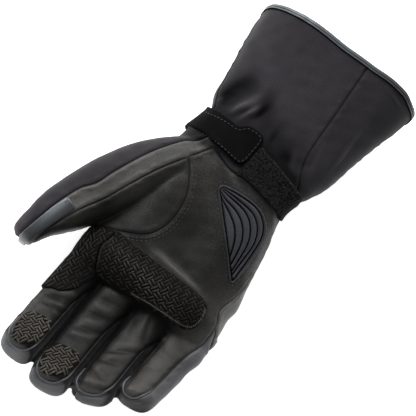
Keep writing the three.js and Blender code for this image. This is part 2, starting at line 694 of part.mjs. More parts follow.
// A folded tape over the cuff's edge, outside, over the rim and inside: rings joined into a loop.
function cuffBinding() {
  const outside = BINDING_GAP + BINDING_THICK;
  const inside = -WALL - BINDING_GAP;
  const rings = [
    edgeRing(outside, -BINDING_WIDE), edgeRing(outside, outside),
    edgeRing(inside - BINDING_THICK, outside), edgeRing(inside - BINDING_THICK, -BINDING_WIDE),
    edgeRing(inside, -BINDING_WIDE), edgeRing(inside, BINDING_GAP),
    edgeRing(BINDING_GAP, BINDING_GAP), edgeRing(BINDING_GAP, -BINDING_WIDE),
  ];
  const sides = BODY_SIDES;
  const flat = new Float32Array(rings.flat().flatMap((p) => [p.x, p.y, p.z]));
  const index = [];
  const at = (i, j) => (i % rings.length) * sides + (j % sides);
  for (let i = 0; i < rings.length; i++)
    for (let j = 0; j < sides; j++) {
      index.push(at(i, j), at(i, j + 1), at(i + 1, j + 1));
      index.push(at(i, j), at(i + 1, j + 1), at(i + 1, j));
    }
  const geometry = new THREE.BufferGeometry();
  geometry.setAttribute("position", new THREE.BufferAttribute(flat, 3)).setIndex(index);
  return solidFrom(geometry);
}

// A ring of the cuff's form at an offset from its surface and a distance along Y from its edge.
function edgeRing(offset, from) {
  const [edge, next] = bodyRows(offset);
  if (from >= 0) return bodyRing(edge, offset, from);
  const ring = bodyRing(next, offset, 0);
  return bodyRing(edge, offset, 0).map((point, j) => point.lerp(ring[j], -from / (edge.y - next.y)));
}

// The largest body of a solid, without slivers that cutting may leave beside it.
function largest(solid) {
  const bodies = solid.decompose();
  return bodies.reduce((best, body) => (body.volume() > best.volume() ? body : best));
}

function meshFrom(name, solid, material) {
  const { vertProperties, triVerts, numProp } = largest(solid).getMesh();
  const positions = [];
  for (let i = 0; i < vertProperties.length; i += numProp)
    positions.push(vertProperties[i], vertProperties[i + 1], vertProperties[i + 2]);
  const geometry = new THREE.BufferGeometry();
  geometry.setAttribute("position", new THREE.Float32BufferAttribute(positions, 3));
  geometry.setIndex(Array.from(triVerts));
  geometry.computeVertexNormals();
  const mesh = new THREE.Mesh(geometry, MATERIALS[material]);
  mesh.name = name;
  return mesh;
}

const glove = new THREE.Group();
const panels = shellPanels();
for (const row of PANELS) glove.add(meshFrom(row.name, nearest(panels, row), row.material));
for (const row of FINGERS) glove.add(meshFrom(`${row.name}_piping`, piping(row), "binding"));
glove.add(meshFrom("cuff_binding", cuffBinding(), "binding"));
glove.add(meshFrom("wrist_strap", wristStrap(), "webbing"));
glove.add(meshFrom("strap_loop_patch",
  sewnOn(outlineRegion("strap_loop", LOOP_LOWEST), LOOP_THICK, body), "loop"));
glove.add(meshFrom("knuckle_grip_patch",
  sewnOn(outlineRegion("knuckle_grip", 30), KNUCKLE_GRIP_THICK), "grip"));
const [indexRow, middleRow] = FINGERS;
const indexSide = (offset) => body(offset).add(finger(indexRow, offset));
glove.add(meshFrom("index_grip_patch",
  sewnOn(outlineRegion("index_grip", 20), GRIP_THICK, indexSide), "grip"));
glove.add(meshFrom("index_tip_grip", tipGrip(indexRow), "grip"));
glove.add(meshFrom("middle_tip_grip", tipGrip(middleRow), "grip"));
glove.add(meshFrom("heel_insert", heelInsert(), "insert"));
glove.add(meshFrom("thumb_wiper",
  sewnOn(outlineRegion("thumb_wiper", 38), WIPER_THICK, thumb), "wiper"));

export default glove;
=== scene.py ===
"""A heated motorcycle glove for the right hand, lying on its back with the palm up.

The shell is one smooth form that is cut along its seams into panels of leather and softshell.
Grip patches, the ribbed heel insert, the wrist strap, pipings, tapes and stitches are laid on it.
Lengths are millimetres inside the classes and become metres where a mesh is made.
"""

import sys
import logging
import math
from collections.abc import Sequence
from dataclasses import dataclass, field, replace
from enum import Enum

import bpy
import numpy as np
from mathutils import Matrix, Vector
from mathutils.bvhtree import BVHTree
from mathutils.kdtree import KDTree


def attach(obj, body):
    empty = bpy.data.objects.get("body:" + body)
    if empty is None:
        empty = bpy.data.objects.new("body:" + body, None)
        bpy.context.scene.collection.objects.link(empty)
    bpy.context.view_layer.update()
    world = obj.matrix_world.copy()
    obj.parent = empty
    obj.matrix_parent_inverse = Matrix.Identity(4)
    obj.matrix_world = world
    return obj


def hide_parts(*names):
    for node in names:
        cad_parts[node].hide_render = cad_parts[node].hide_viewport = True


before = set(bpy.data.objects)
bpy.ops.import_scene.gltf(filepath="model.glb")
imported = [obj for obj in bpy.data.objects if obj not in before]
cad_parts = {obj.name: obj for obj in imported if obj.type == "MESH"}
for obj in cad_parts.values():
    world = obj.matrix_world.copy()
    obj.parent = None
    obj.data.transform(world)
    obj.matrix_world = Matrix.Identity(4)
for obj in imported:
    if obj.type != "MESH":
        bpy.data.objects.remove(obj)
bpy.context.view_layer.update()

LOG = logging.getLogger("glove")
MM = 0.001
BODY_NAME = "root"
Plan = tuple[tuple[float, float], ...]
Socket = bpy.types.NodeSocket

# Where the panels meet, in millimetres
WRIST_Y = 42.0
FINGER_Y = -88.0
KNUCKLE_SLOPE = 0.075
KNUCKLE_X = -22.0
FINGER_SEAM_Z = 26.2
SIDE_SEAM_Z = 14.0
THUMB_SEAM_Z = 26.0
CUFF_SEAM_LEFT_Z = 38.0
CUFF_SEAM_RIGHT_Z = 24.0
# Above and below everything
HIGH = 120.0
LOW = -10.0
# How far each seam is carried past the seams that it meets
PAST = 2.6

# Of every finish: two roughnesses, the sizes of mottling and of gloss patches, and the darkest that painted
# shade goes
SHEEN_ROUGHNESS = 0.45
COAT_ROUGHNESS = 0.25
MOTTLE_SIZE = 28.0
PATCH_SIZE = 9.0
DARKEST = 0.12


class Grain(Enum):
    """The kinds of fine surface that a finish can have."""

    PEBBLE = "pebbled leather"
    SOFTSHELL = "fine woven face"
    WEBBING = "woven tape"
    PILE = "brushed loops"
    RIB = "speckled cloth"
    STRETCH = "cloth with fine ribs across"
    SMOOTH = "smooth rubber or tape"


@dataclass(frozen=True)
class Finish:
    """One material of the glove, with its colour, gloss and fine surface.

    Attributes:
        name: The material's name.
        slot: The material slot that it belongs to; not used.
        colour: Linear base colour.
        roughness: Mean roughness.
        grain: Kind of fine surface.
        size: Size of one grain in millimetres.
        depth: Depth of the grain in millimetres.
        mottling: Share by which the colour varies over a hand's width.
        specular: Specular level of the shader.
        sheen: Weight of the cloth's sheen.
        coat: Weight of a clear gloss over the colour.
        painted_light: How much lighter painted highlights make the tops of folds and edges, and how much
            darker painted shade makes hollows.
    """

    name: str
    slot: str
    colour: tuple[float, float, float]
    roughness: float
    grain: Grain
    size: float
    depth: float
    mottling: float = 0.15
    specular: float = 0.5
    sheen: float = 0.0
    coat: float = 0.0
    painted_light: float = 0.35


LEATHER = Finish(
    "leather", "leather", (0.0175, 0.0168, 0.0158), 0.40, Grain.PEBBLE, 1.1, 0.09, 0.12, 0.2, painted_light=1.2)
SIDE_LEATHER = Finish(
    "side_leather", "side_leather", (0.064, 0.063, 0.059), 0.46, Grain.PEBBLE, 1.1, 0.08, 0.10, 0.3,
    painted_light=0.4)
SOFTSHELL = Finish(
    "softshell", "softshell", (0.0305, 0.0280, 0.0320), 0.85, Grain.SOFTSHELL, 0.45, 0.05, 0.10, 0.12, 0.12,
    painted_light=0.6)
FINGER_CLOTH = Finish(
    "finger_cloth", "softshell", (0.047, 0.0475, 0.0505), 0.6, Grain.STRETCH, 1.1, 0.03, 0.05, 0.32, 0.08,
    painted_light=0.75)
LINING = Finish("lining", "softshell", (0.012, 0.012, 0.013), 0.95, Grain.PILE, 0.8, 0.15, sheen=0.2)
GRIP_CLOTH = Finish("grip_cloth", "grip", (0.0045, 0.0042, 0.004), 0.9, Grain.PILE, 0.5, 0.12, 0.1, 0.12)
GRIP_BARS = Finish(
    "grip_bars", "grip", (0.0140, 0.0127, 0.0108), 0.55, Grain.SMOOTH, 0.6, 0.03, 0.35, 0.1, painted_light=1.0)
EDGING = Finish("edging_thread", "grip", (0.200, 0.194, 0.184), 0.5, Grain.SMOOTH, 0.3, 0.02, 0.3, 0.4)
RIB_CLOTH = Finish("rib_cloth", "insert", (0.037, 0.038, 0.044), 0.75, Grain.RIB, 0.9, 0.12, 0.1, 0.25, 0.05)
GROOVE = Finish("groove_cloth", "insert", (0.003, 0.003, 0.003), 0.9, Grain.PILE, 0.5, 0.05, 0.1, 0.05)
TAPE = Finish(
    "tape", "binding", (0.092, 0.102, 0.112), 0.42, Grain.SMOOTH, 1.4, 0.05, 0.08, 0.32, coat=0.1, painted_light=0.8)
CORD = Finish(
    "cord", "binding", (0.092, 0.100, 0.110), 0.4, Grain.SMOOTH, 1.4, 0.03, 0.08, 0.35, coat=0.1, painted_light=0.75)
WEBBING = Finish("webbing", "webbing", (0.0030, 0.0030, 0.0032), 0.8, Grain.WEBBING, 0.9, 0.14, 0.05, 0.06)
LOOP_PILE = Finish("loop_pile", "loop", (0.0038, 0.0038, 0.0038), 0.9, Grain.PILE, 0.7, 0.3, 0.1, 0.1, 0.05)
LOOP_CURLS = Finish("loop_curls", "loop", (0.0115, 0.0115, 0.0115), 0.7, Grain.SMOOTH, 0.5, 0.05, 0.5, 0.3)
WIPER = Finish(
    "wiper_rubber", "wiper", (0.078, 0.088, 0.097), 0.36, Grain.SMOOTH, 1.6, 0.03, 0.15, coat=0.25, painted_light=0.9)
THREAD = Finish("thread", "webbing", (0.022, 0.022, 0.023), 0.5, Grain.SMOOTH, 0.3, 0.02)
STRAP_THREAD = replace(THREAD, name="strap_thread")


@dataclass(frozen=True)
class Nodes:
    """Adds nodes to a node tree.

    Attributes:
        tree: The tree.
    """

    tree: bpy.types.NodeTree

    def add(self, kind: str, settings: dict | None = None, **inputs) -> bpy.types.Node:
        """Add a node.

        Args:
            kind: The node's type.
            settings: Properties of the node.
            inputs: Sockets to link or values to set, by the input's name with _ for a space, or by _ and
                the input's number.

        Returns:
            The node.
        """
        node = self.tree.nodes.new(kind)
        for name, value in (settings or {}).items():
            setattr(node, name, value)
        for name, value in inputs.items():
            if name[1:].isdigit():
                socket = node.inputs[int(name[1:])]
            else:
                matching = [found for found in node.inputs if found.name == name.replace("_", " ")]
                socket = next((found for found in matching if found.enabled), matching[0])
            if isinstance(value, Socket):
                self.tree.links.new(value, socket)
            else:
                socket.default_value = value
        return node

    def noise(self, where: Socket, size: float, detail: float = 3.0) -> Socket:
        """Return the factor of a noise with lumps of a size in millimetres."""
        return factor(self.add("ShaderNodeTexNoise", Vector=where, Scale=1 / (size * MM), Detail=detail))

    def wave(self, where: Socket, scale: float, distortion: float, way: str = "X", **inputs) -> Socket:
        """Return the factor of a sine wave that runs along an axis."""
        return factor(self.add("ShaderNodeTexWave", {"wave_profile": "SIN", "bands_direction": way},
                               Vector=where, Scale=scale, Distortion=distortion, **inputs))

    def calculated(self, operation: str, *values: Socket | float) -> Socket:
        """Return the result of a math node on sockets or numbers."""
        inputs = {f"_{i}": value for i, value in enumerate(values)}
        return self.add("ShaderNodeMath", {"operation": operation}, **inputs).outputs[0]

    def mapped(self, value: Socket, **limits: float) -> Socket:
        """Return a value moved from one range, given by its limits, to another."""
        return self.add("ShaderNodeMapRange", Value=value, **limits).outputs[0]


def factor(texture: bpy.types.Node) -> Socket:
    """Return a texture's grey output, under either of its names."""
    return texture.outputs["Factor" if "Factor" in texture.outputs else "Fac"]


class MaterialShop:
    """Makes each finish into a node material, once."""

    made: dict[str, bpy.types.Material] = {}

    @classmethod
    def get(cls, finish: Finish) -> bpy.types.Material:
        """Return the material of a finish.

        Args:
            finish: The finish to make.

        Returns:
            Its material, made on the first call.
        """
        if finish.name not in cls.made:
            cls.made[finish.name] = cls._make(finish)
        return cls.made[finish.name]

    @classmethod
    def _make(cls, finish: Finish) -> bpy.types.Material:
        """Build the node tree of a finish and return its material."""
        material = bpy.data.materials.new(finish.name)
        material.use_nodes = True
        nodes = Nodes(material.node_tree)
        spaces = nodes.add("ShaderNodeTexCoord").outputs
        # The fold attribute carries painted highlights and painted shade.
        fold = nodes.add("ShaderNodeAttribute", {"attribute_name": "fold"}).outputs["Fac"]
        in_pattern = finish.grain in (Grain.WEBBING, Grain.RIB)
        height, shade = cls._grain(nodes, finish, spaces["UV" if in_pattern else "Object"])
        bump = nodes.add("ShaderNodeBump", Height=height, Strength=1.0, Distance=finish.depth * MM)
        shader = material.node_tree.nodes["Principled BSDF"]
        for name, value in (("Specular IOR Level", finish.specular), ("Sheen Weight", finish.sheen),
                            ("Sheen Roughness", SHEEN_ROUGHNESS), ("Coat Weight", finish.coat),
                            ("Coat Roughness", COAT_ROUGHNESS)):
            shader.inputs[name].default_value = value
        for name, socket in (("Base Color", cls._colour(nodes, finish, spaces["Object"], fold, shade)),
                             ("Roughness", cls._roughness(nodes, finish, spaces["Object"], fold)),
                             ("Normal", bump.outputs["Normal"])):
            material.node_tree.links.new(socket, shader.inputs[name])
        return material

    @staticmethod
    def _grain(nodes: Nodes, finish: Finish, where: Socket) -> tuple[Socket, Socket]:
        """Return a grain's height, and its shade from 0 in the gaps to 1 on top."""
        scale = 1 / (finish.size * MM)
        if finish.grain is Grain.PEBBLE:
            wobble = nodes.add("ShaderNodeTexNoise", Vector=where, Scale=scale * 0.6, Detail=2.0)
            mixed = nodes.add("ShaderNodeVectorMath", {"operation": "MULTIPLY_ADD"},
                              _0=wobble.outputs["Color"], _1=(0.9 / scale,) * 3, _2=where)
            cells = nodes.add("ShaderNodeTexVoronoi", {"feature": "DISTANCE_TO_EDGE"},
                              Vector=mixed.outputs[0], Scale=scale)
            top = nodes.add("ShaderNodeMapRange", {"interpolation_type": "SMOOTHSTEP"},
                            Value=cells.outputs["Distance"], From_Max=0.32).outputs[0]
            return nodes.calculated("MULTIPLY_ADD", nodes.noise(where, finish.size * 0.35), 0.35, top), top
        if finish.grain is Grain.SOFTSHELL:
            threads = []
            for turn in (0.4, 0.4 + math.pi / 2):
                turned = nodes.add("ShaderNodeMapping", Vector=where, Rotation=(0.0, 0.0, turn)).outputs[0]
                threads.append(nodes.wave(turned, scale * 0.25, 1.2, Detail=1.0, Detail_Scale=2.0))
            fuzz = nodes.noise(where, finish.size * 1.6, 4.0)
            weave = nodes.calculated("MULTIPLY", *threads)
            return nodes.calculated("ADD", weave, fuzz), nodes.mapped(fuzz, From_Min=0.3, From_Max=0.7)
        if finish.grain is Grain.STRETCH:
            return nodes.wave(where, scale * 0.16, 0.6, "Y"), nodes.noise(where, finish.size)
        if finish.grain is Grain.WEBBING:
            threads = [nodes.wave(where, scale * 0.16, 0.3, way) for way in "XY"]
            both = nodes.calculated("MULTIPLY", *threads)
            return both, both
        if finish.grain is Grain.PILE:
            curls = nodes.add("ShaderNodeTexVoronoi", {"feature": "SMOOTH_F1"}, Vector=where, Scale=scale)
            fuzz = nodes.noise(where, finish.size * 0.5, 5.0)
            return nodes.calculated("ADD", curls.outputs["Distance"], fuzz), fuzz
        fine = nodes.noise(where, finish.size)
        if finish.grain is Grain.RIB:
            return fine, nodes.mapped(fine, From_Min=0.35, From_Max=0.65, To_Min=-0.6, To_Max=1.5)
        return fine, fine

    @staticmethod
    def _colour(nodes: Nodes, finish: Finish, where: Socket, fold: Socket, shade: Socket) -> Socket:
        """Return the colour, with broad mottling, darker gaps in the grain, and the painted highlights and
        painted shade of the fold attribute.
        """
        broad = nodes.mapped(nodes.noise(where, MOTTLE_SIZE, 4.0), From_Min=0.3, From_Max=0.7,
                             To_Min=1 - finish.mottling, To_Max=1 + finish.mottling)
        grain = nodes.mapped(shade, To_Min=0.72, To_Max=1.12)
        painted_light = nodes.calculated("MULTIPLY_ADD", fold, finish.painted_light, 1.0)
        level = nodes.calculated("MULTIPLY", nodes.calculated("MULTIPLY", broad, grain),
                                 nodes.calculated("MAXIMUM", painted_light, DARKEST))
        scaled = nodes.add("ShaderNodeVectorMath", {"operation": "SCALE"}, _0=finish.colour, Scale=level)
        return scaled.outputs[0]

    @staticmethod
    def _roughness(nodes: Nodes, finish: Finish, where: Socket, fold: Socket) -> Socket:
        """Return the roughness, which varies a little in patches and is higher in hollows and grooves."""
        patches = nodes.mapped(nodes.noise(where, PATCH_SIZE, 4.0), From_Min=0.3, From_Max=0.7,
                               To_Min=finish.roughness * 0.88, To_Max=min(finish.roughness * 1.12, 1.0))
        dull = nodes.calculated("MAXIMUM", nodes.calculated("MULTIPLY_ADD", fold, -0.7, 1.0), 0.9)
        return nodes.calculated("MINIMUM", nodes.calculated("MULTIPLY", patches, dull), 1.0)


# Curves and small sums
def knuckle_y(x: np.ndarray | float) -> np.ndarray | float:
    """Return where the finger bases lie at a place across the hand."""
    return FINGER_Y + KNUCKLE_SLOPE * (x - KNUCKLE_X)


def ease(value: np.ndarray | float, start: float, end: float) -> np.ndarray:
    """Return a smooth step from 0 at start to 1 at end."""
    t = np.clip((np.asarray(value, float) - start) / (end - start), 0, 1)
    return t * t * (3 - 2 * t)


def bell(value: np.ndarray | float, wide: float) -> np.ndarray:
    """Return a bell curve that is 1 at 0 and falls off over a width."""
    return np.exp(-((value / wide) ** 2))


def in_fingers(points: np.ndarray) -> np.ndarray:
    """Return 1 for points in the fingers and 0 for points in the hand, and shares between."""
    return ease(-points[:, 1], 84, 92)


def squared(value: np.ndarray, squareness: float) -> np.ndarray:
    """Return a cosine or sine pushed outwards, for a section with rounded corners."""
    return np.sign(value) * np.abs(value) ** (2 / squareness)


def catmull_rom(table: np.ndarray, at: np.ndarray) -> np.ndarray:
    """Return rows between a table's rows.

    Args:
        table: Rows of numbers.
        at: Places counted in rows from the first one.

    Returns:
        A row for each place.
    """
    last = len(table) - 1
    at = np.clip(at, 0, last - 1e-9)
    low = np.floor(at).astype(int)
    t = (at - low)[:, None]
    a, b, c, d = (table[np.clip(low + k, 0, last)] for k in (-1, 0, 1, 2))
    return 0.5 * (2 * b + (c - a) * t + (2 * a - 5 * b + 4 * c - d) * t**2 + (3 * b - a - 3 * c + d) * t**3)


def smooth_line(points: Sequence[Sequence[float]], step: float, closed: bool = False) -> np.ndarray:
    """Return a curve through points, resampled evenly.

    Args:
        points: The curve's own points, with two or three coordinates.
        step: Distance between the points returned.
        closed: Whether the curve joins up.

    Returns:
        An array of points.
    """
    table = np.asarray(points, float)
    if closed:
        table = np.vstack([table[-1:], table, table[:2]])
    ends = (1, len(table) - 2) if closed else (0, len(table) - 1)
    return resampled(catmull_rom(table, np.linspace(*ends, 24 * len(table))), step)


def lengths_along(line: np.ndarray) -> np.ndarray:
    """Return how far along a line each of its points is."""
    return np.concatenate([[0], np.cumsum(np.linalg.norm(np.diff(line, axis=0), axis=1))])


def rows_at(at: np.ndarray, run: np.ndarray, rows: np.ndarray) -> np.ndarray:
    """Return rows between those of a table, which are at the places that a run gives."""
    return np.stack([np.interp(at, run, column) for column in rows.T], axis=1)


def resampled(line: np.ndarray, step: float) -> np.ndarray:
    """Return a line's points moved so that they are an even step apart."""
    run = lengths_along(line)
    count = max(2, int(round(run[-1] / step)) + 1)
    return rows_at(np.linspace(0, run[-1], count), run, line)


def unit(vectors: np.ndarray) -> np.ndarray:
    """Return vectors at length 1."""
    return vectors / np.maximum(np.linalg.norm(vectors, axis=-1, keepdims=True), 1e-12)


def carried_on(line: np.ndarray, length: float) -> np.ndarray:
    """Return a line that runs straight on for a length at both ends."""
    start = line[0] + unit(line[0] - line[1]) * length
    end = line[-1] + unit(line[-1] - line[-2]) * length
    return np.vstack([start, line, end])


def line_distance(points: np.ndarray, line: np.ndarray) -> tuple[np.ndarray, np.ndarray]:
    """Measure points against a line in plan.

    Args:
        points: Points, of which x and y are read.
        line: The line's points.

    Returns:
        The signed distance, positive on its left, and whether the nearest place is inside the line and not
        at one of its ends.
    """
    best = np.full(len(points), np.inf)
    signed = np.zeros(len(points))
    inside = np.zeros(len(points), bool)
    last = len(line) - 2
    for i, (a, b) in enumerate(zip(line[:-1], line[1:])):
        step = b[:2] - a[:2]
        length = float(np.hypot(*step))
        rel = points[:, :2] - a[:2]
        t_free = rel @ step / length**2
        off = rel - np.clip(t_free, 0, 1)[:, None] * step
        distance = np.hypot(off[:, 0], off[:, 1])
        closer = distance < best - 1e-9
        best[closer] = distance[closer]
        cross = step[0] * rel[:, 1] - step[1] * rel[:, 0]
        signed[closer] = np.where(cross[closer] >= 0, distance[closer], -distance[closer])
        free = ((t_free > 0) | (i > 0)) & ((t_free < 1) | (i < last))
        inside[closer] = free[closer]
    return signed, inside


def in_polygon(points: np.ndarray, outline: np.ndarray) -> np.ndarray:
    """Return which points lie inside an outline, in plan."""
    x, y = points[:, 0], points[:, 1]
    inside = np.zeros(len(points), bool)
    for (ax, ay), (bx, by) in zip(outline[:, :2], np.roll(outline[:, :2], -1, axis=0)):
        spans = (ay > y) != (by > y)
        if ay != by:
            inside ^= spans & (x < (bx - ax) * (y - ay) / (by - ay) + ax)
    return inside


def inside_by(points: np.ndarray, outline: np.ndarray) -> np.ndarray:
    """Return how far points are inside an outline, in plan; below 0 they are outside it."""
    distance = np.abs(line_distance(points, outline)[0])
    return np.where(in_polygon(points, outline), distance, -distance)


def summed(where: np.ndarray, values: np.ndarray, count: int) -> np.ndarray:
    """Return the sums of the rows of values that go to each of some places."""
    return np.stack([np.bincount(where, column, count) for column in values.T], axis=1)


def flattened(vectors: np.ndarray, normals: np.ndarray, share: float = 1.0) -> np.ndarray:
    """Return vectors less their part along the normals, or less a share of it."""
    return vectors - normals * np.einsum("ij,ij->i", vectors, normals)[:, None] * share


def upright(along: np.ndarray) -> tuple[np.ndarray, np.ndarray]:
    """Return the level directions square to some directions, and the ones square to both."""
    side = unit(-np.cross(along, [0.0, 0.0, 1.0]))
    return side, unit(np.cross(along, side))


def rows_to_tip(length: float, cap: float, count: int) -> np.ndarray:
    """Return lengths that are even up to a rounded cap and then closer and closer up to its tip."""
    even = np.linspace(0, length - cap, count)[:-1]
    return np.concatenate([even, length - cap + cap * np.sin(np.linspace(0, math.pi / 2, 16)) * 0.999])


def rounded_end(s: np.ndarray, length: float, cap: float, squareness: float) -> np.ndarray:
    """Return the share of its size that something with a rounded end has at lengths along it."""
    t = np.clip((s - (length - cap)) / cap, 0, 1)
    return (1 - t**squareness) ** (1 / squareness)


def lumpy(points: np.ndarray, size: float, seed: int) -> np.ndarray:
    """Return a smooth random field from about -1 to 1, the same on each run.

    Args:
        points: Places in millimetres.
        size: Typical size of a lump.
        seed: Which field.

    Returns:
        The field at each place.
    """
    draw = np.random.default_rng(seed)
    total = np.zeros(len(points))
    for _ in range(14):
        direction = unit(draw.normal(size=3)) * (2 * math.pi / size) * draw.uniform(0.6, 1.5)
        total += np.sin(points @ direction + draw.uniform(0, 2 * math.pi))
    return total / 4.2


@dataclass
class Surface:
    """A mesh of triangles in millimetres.

    Attributes:
        points: Its points.
        faces: Three point numbers for each triangle.
    """

    points: np.ndarray
    faces: np.ndarray

    def face_normals(self) -> np.ndarray:
        """Return each triangle's normal, as long as twice its area."""
        a, b, c = (self.points[self.faces[:, k]] for k in range(3))
        return np.cross(b - a, c - a)

    def normals(self) -> np.ndarray:
        """Return each point's outward normal."""
        flat = self.face_normals()
        return unit(sum(summed(self.faces[:, k], flat, len(self.points)) for k in range(3)))

    def sides(self) -> np.ndarray:
        """Return the pair of points of each side: every triangle's first, then second, then third."""
        return np.vstack([self.faces[:, [0, 1]], self.faces[:, [1, 2]], self.faces[:, [2, 0]]])

    def keys(self, pairs: np.ndarray) -> np.ndarray:
        """Return a number for each pair of points, which no other pair has."""
        return pairs[:, 0].astype(np.int64) * len(self.points) + pairs[:, 1]

    def edges(self) -> np.ndarray:
        """Return the pairs of points that share an edge, each once."""
        pairs = np.sort(self.sides(), axis=1)
        return pairs[np.unique(self.keys(pairs), return_index=True)[1]]

    def meeting(self) -> tuple[np.ndarray, np.ndarray, np.ndarray]:
        """Return the triangles that share an edge, as the ones and the others, and those edges."""
        pairs = np.sort(self.sides(), axis=1)
        owner = np.tile(np.arange(len(self.faces)), 3)
        key = self.keys(pairs)
        order = np.argsort(key, kind="stable")
        same = key[order][1:] == key[order][:-1]
        return owner[order][:-1][same], owner[order][1:][same], pairs[order][:-1][same]

    def neighbour_mean(self, values: np.ndarray, edges: np.ndarray) -> np.ndarray:
        """Return the mean of a point's neighbours, for each column of values."""
        size = len(self.points)
        a, b = edges.T
        total = summed(a, values[b], size) + summed(b, values[a], size)
        return total / np.maximum(np.bincount(edges.ravel(), minlength=size), 1)[:, None]

    def smooth(self, rounds: int) -> None:
        """Smooth the surface without shrinking it much."""
        edges = self.edges()
        for _ in range(rounds):
            for weight in (0.5, -0.52):
                self.points += weight * (self.neighbour_mean(self.points, edges) - self.points)

    def centres(self) -> np.ndarray:
        """Return each triangle's middle."""
        return self.points[self.faces].mean(1)

    def part(self, chosen: np.ndarray) -> tuple["Surface", np.ndarray]:
        """Return the chosen triangles as a surface, with the old number of each of its points."""
        kept, faces = np.unique(self.faces[chosen], return_inverse=True)
        return Surface(self.points[kept].copy(), faces.reshape(-1, 3)), kept

    def rim(self) -> np.ndarray:
        """Return the edges that only one triangle has, in that triangle's direction."""
        pairs = self.sides()
        return pairs[~np.isin(self.keys(pairs), self.keys(pairs[:, ::-1]))]

    def on_rim(self) -> np.ndarray:
        """Return which points lie on the rim."""
        return np.isin(np.arange(len(self.points)), self.rim())

    def split(self, edges: np.ndarray, marked: np.ndarray) -> tuple["Surface", np.ndarray]:
        """Split some edges in two, and the triangles beside them to match.

        Args:
            edges: The surface's edges.
            marked: Which of them to split.

        Returns:
            The new surface, whose new points come last and in the edges' order, and the old number of
            each of its triangles.
        """
        size = len(self.points)
        number = np.full(len(edges), -1, np.int64)
        number[marked] = np.arange(int(marked.sum())) + size
        a = self.faces.astype(np.int64)
        b = np.roll(a, -1, axis=1)
        middle = number[np.searchsorted(self.keys(edges), np.minimum(a, b) * size + np.maximum(a, b))]
        count = (middle >= 0).sum(1)
        faces, parents = [a[count == 0]], [np.flatnonzero(count == 0)]

        def add(rows: np.ndarray, *corners: np.ndarray) -> None:
            """Add a triangle for each of some old ones."""
            faces.append(np.stack(corners, 1))
            parents.append(rows)

        for k in range(3):
            n, o = (k + 1) % 3, (k + 2) % 3
            rows = np.flatnonzero((count == 1) & (middle[:, k] >= 0))
            add(rows, a[rows, k], middle[rows, k], a[rows, o])
            add(rows, middle[rows, k], a[rows, n], a[rows, o])
            rows = np.flatnonzero((count == 2) & (middle[:, k] < 0))
            add(rows, a[rows, o], middle[rows, o], middle[rows, n])
            add(rows, a[rows, k], a[rows, n], middle[rows, n])
            add(rows, a[rows, k], middle[rows, n], middle[rows, o])
            rows = np.flatnonzero(count == 3)
            add(rows, a[rows, k], middle[rows, k], middle[rows, o])
        add(rows, *middle[rows].T)
        halves = (self.points[edges[marked, 0]] + self.points[edges[marked, 1]]) / 2
        return Surface(np.vstack([self.points, halves]), np.vstack(faces)), np.concatenate(parents)

    def finer(self) -> "Surface":
        """Return the surface with each triangle split in four."""
        edges = self.edges()
        return self.split(edges, np.ones(len(edges), bool))[0]

    def largest_piece(self) -> "Surface":
        """Return the largest connected piece of the surface."""
        one, other = self.faces[:, [0, 1]].ravel(), self.faces[:, [1, 2]].ravel()
        patch = spread(len(self.points), one, other)[self.faces[:, 0]]
        return self.part(patch == np.bincount(patch).argmax())[0]

    def rim_distance(self) -> np.ndarray:
        """Return each point's distance to the surface's rim."""
        return distance_to(self.points, self.points[self.on_rim()])

    def tree(self) -> BVHTree:
        """Return a search tree of the surface."""
        return BVHTree.FromPolygons(self.points.tolist(), self.faces.tolist())

    def thickened(self, wall: float | np.ndarray, normals: np.ndarray) -> "Surface":
        """Return a closed wall with this surface outside and another one inside it.

        Args:
            wall: The wall's thickness, or one for each point.
            normals: Directions to thicken along.

        Returns:
            The wall, with this surface's points first.
        """
        inner = self.points - normals * np.reshape(wall, (-1, 1))
        count = len(self.points)
        start, end = self.rim().T
        sides = (np.stack([end, start, start + count], 1), np.stack([end, start + count, end + count], 1))
        faces = np.vstack([self.faces, self.faces[:, ::-1] + count, *sides])
        return Surface(np.vstack([self.points, inner]), faces)


def offset_from(points: np.ndarray, others: np.ndarray) -> np.ndarray:
    """Return the step to each point from the nearest of some other points."""
    tree = KDTree(len(others))
    for i, other in enumerate(others):
        tree.insert(other, i)
    tree.balance()
    return points - others[np.array([tree.find(point)[1] for point in points])]


def distance_to(points: np.ndarray, others: np.ndarray) -> np.ndarray:
    """Return each point's distance to the nearest of some other points."""
    return np.linalg.norm(offset_from(points, others), axis=1)


def joined(parts: Sequence[Surface]) -> Surface:
    """Return several surfaces as one."""
    starts = np.cumsum([0] + [len(part.points) for part in parts])
    faces = np.vstack([part.faces + start for part, start in zip(parts, starts)])
    return Surface(np.vstack([part.points for part in parts]), faces)


def loft(rings: np.ndarray, ends: bool = True) -> Surface:
    """Return a tube through rings of points.

    Args:
        rings: Rings, sides and coordinates.
        ends: Whether the ends are closed with fans; else the last ring joins the first.

    Returns:
        The tube.
    """
    count, sides = rings.shape[:2]
    points = rings.reshape(-1, 3)
    last = count - 1 if ends else count
    i, j = np.meshgrid(np.arange(last), np.arange(sides), indexing="ij")
    a = (i * sides + j).ravel()
    b = (i * sides + (j + 1) % sides).ravel()
    c = (((i + 1) % count) * sides + (j + 1) % sides).ravel()
    d = (((i + 1) % count) * sides + j).ravel()
    faces = [np.stack([a, b, c], 1), np.stack([a, c, d], 1)]
    if ends:
        points = np.vstack([points, rings[0].mean(0), rings[-1].mean(0)])
        k = np.arange(sides)
        n = (k + 1) % sides
        start = np.full(sides, count * sides)
        faces.append(np.stack([start, n, k], 1))
        faces.append(np.stack([start + 1, (count - 1) * sides + k, (count - 1) * sides + n], 1))
    made = Surface(points.copy(), np.vstack(faces))
    volume = np.einsum("ij,ij->", made.points[made.faces[:, 0]], made.face_normals())
    return made if volume > 0 else Surface(made.points, made.faces[:, ::-1].copy())


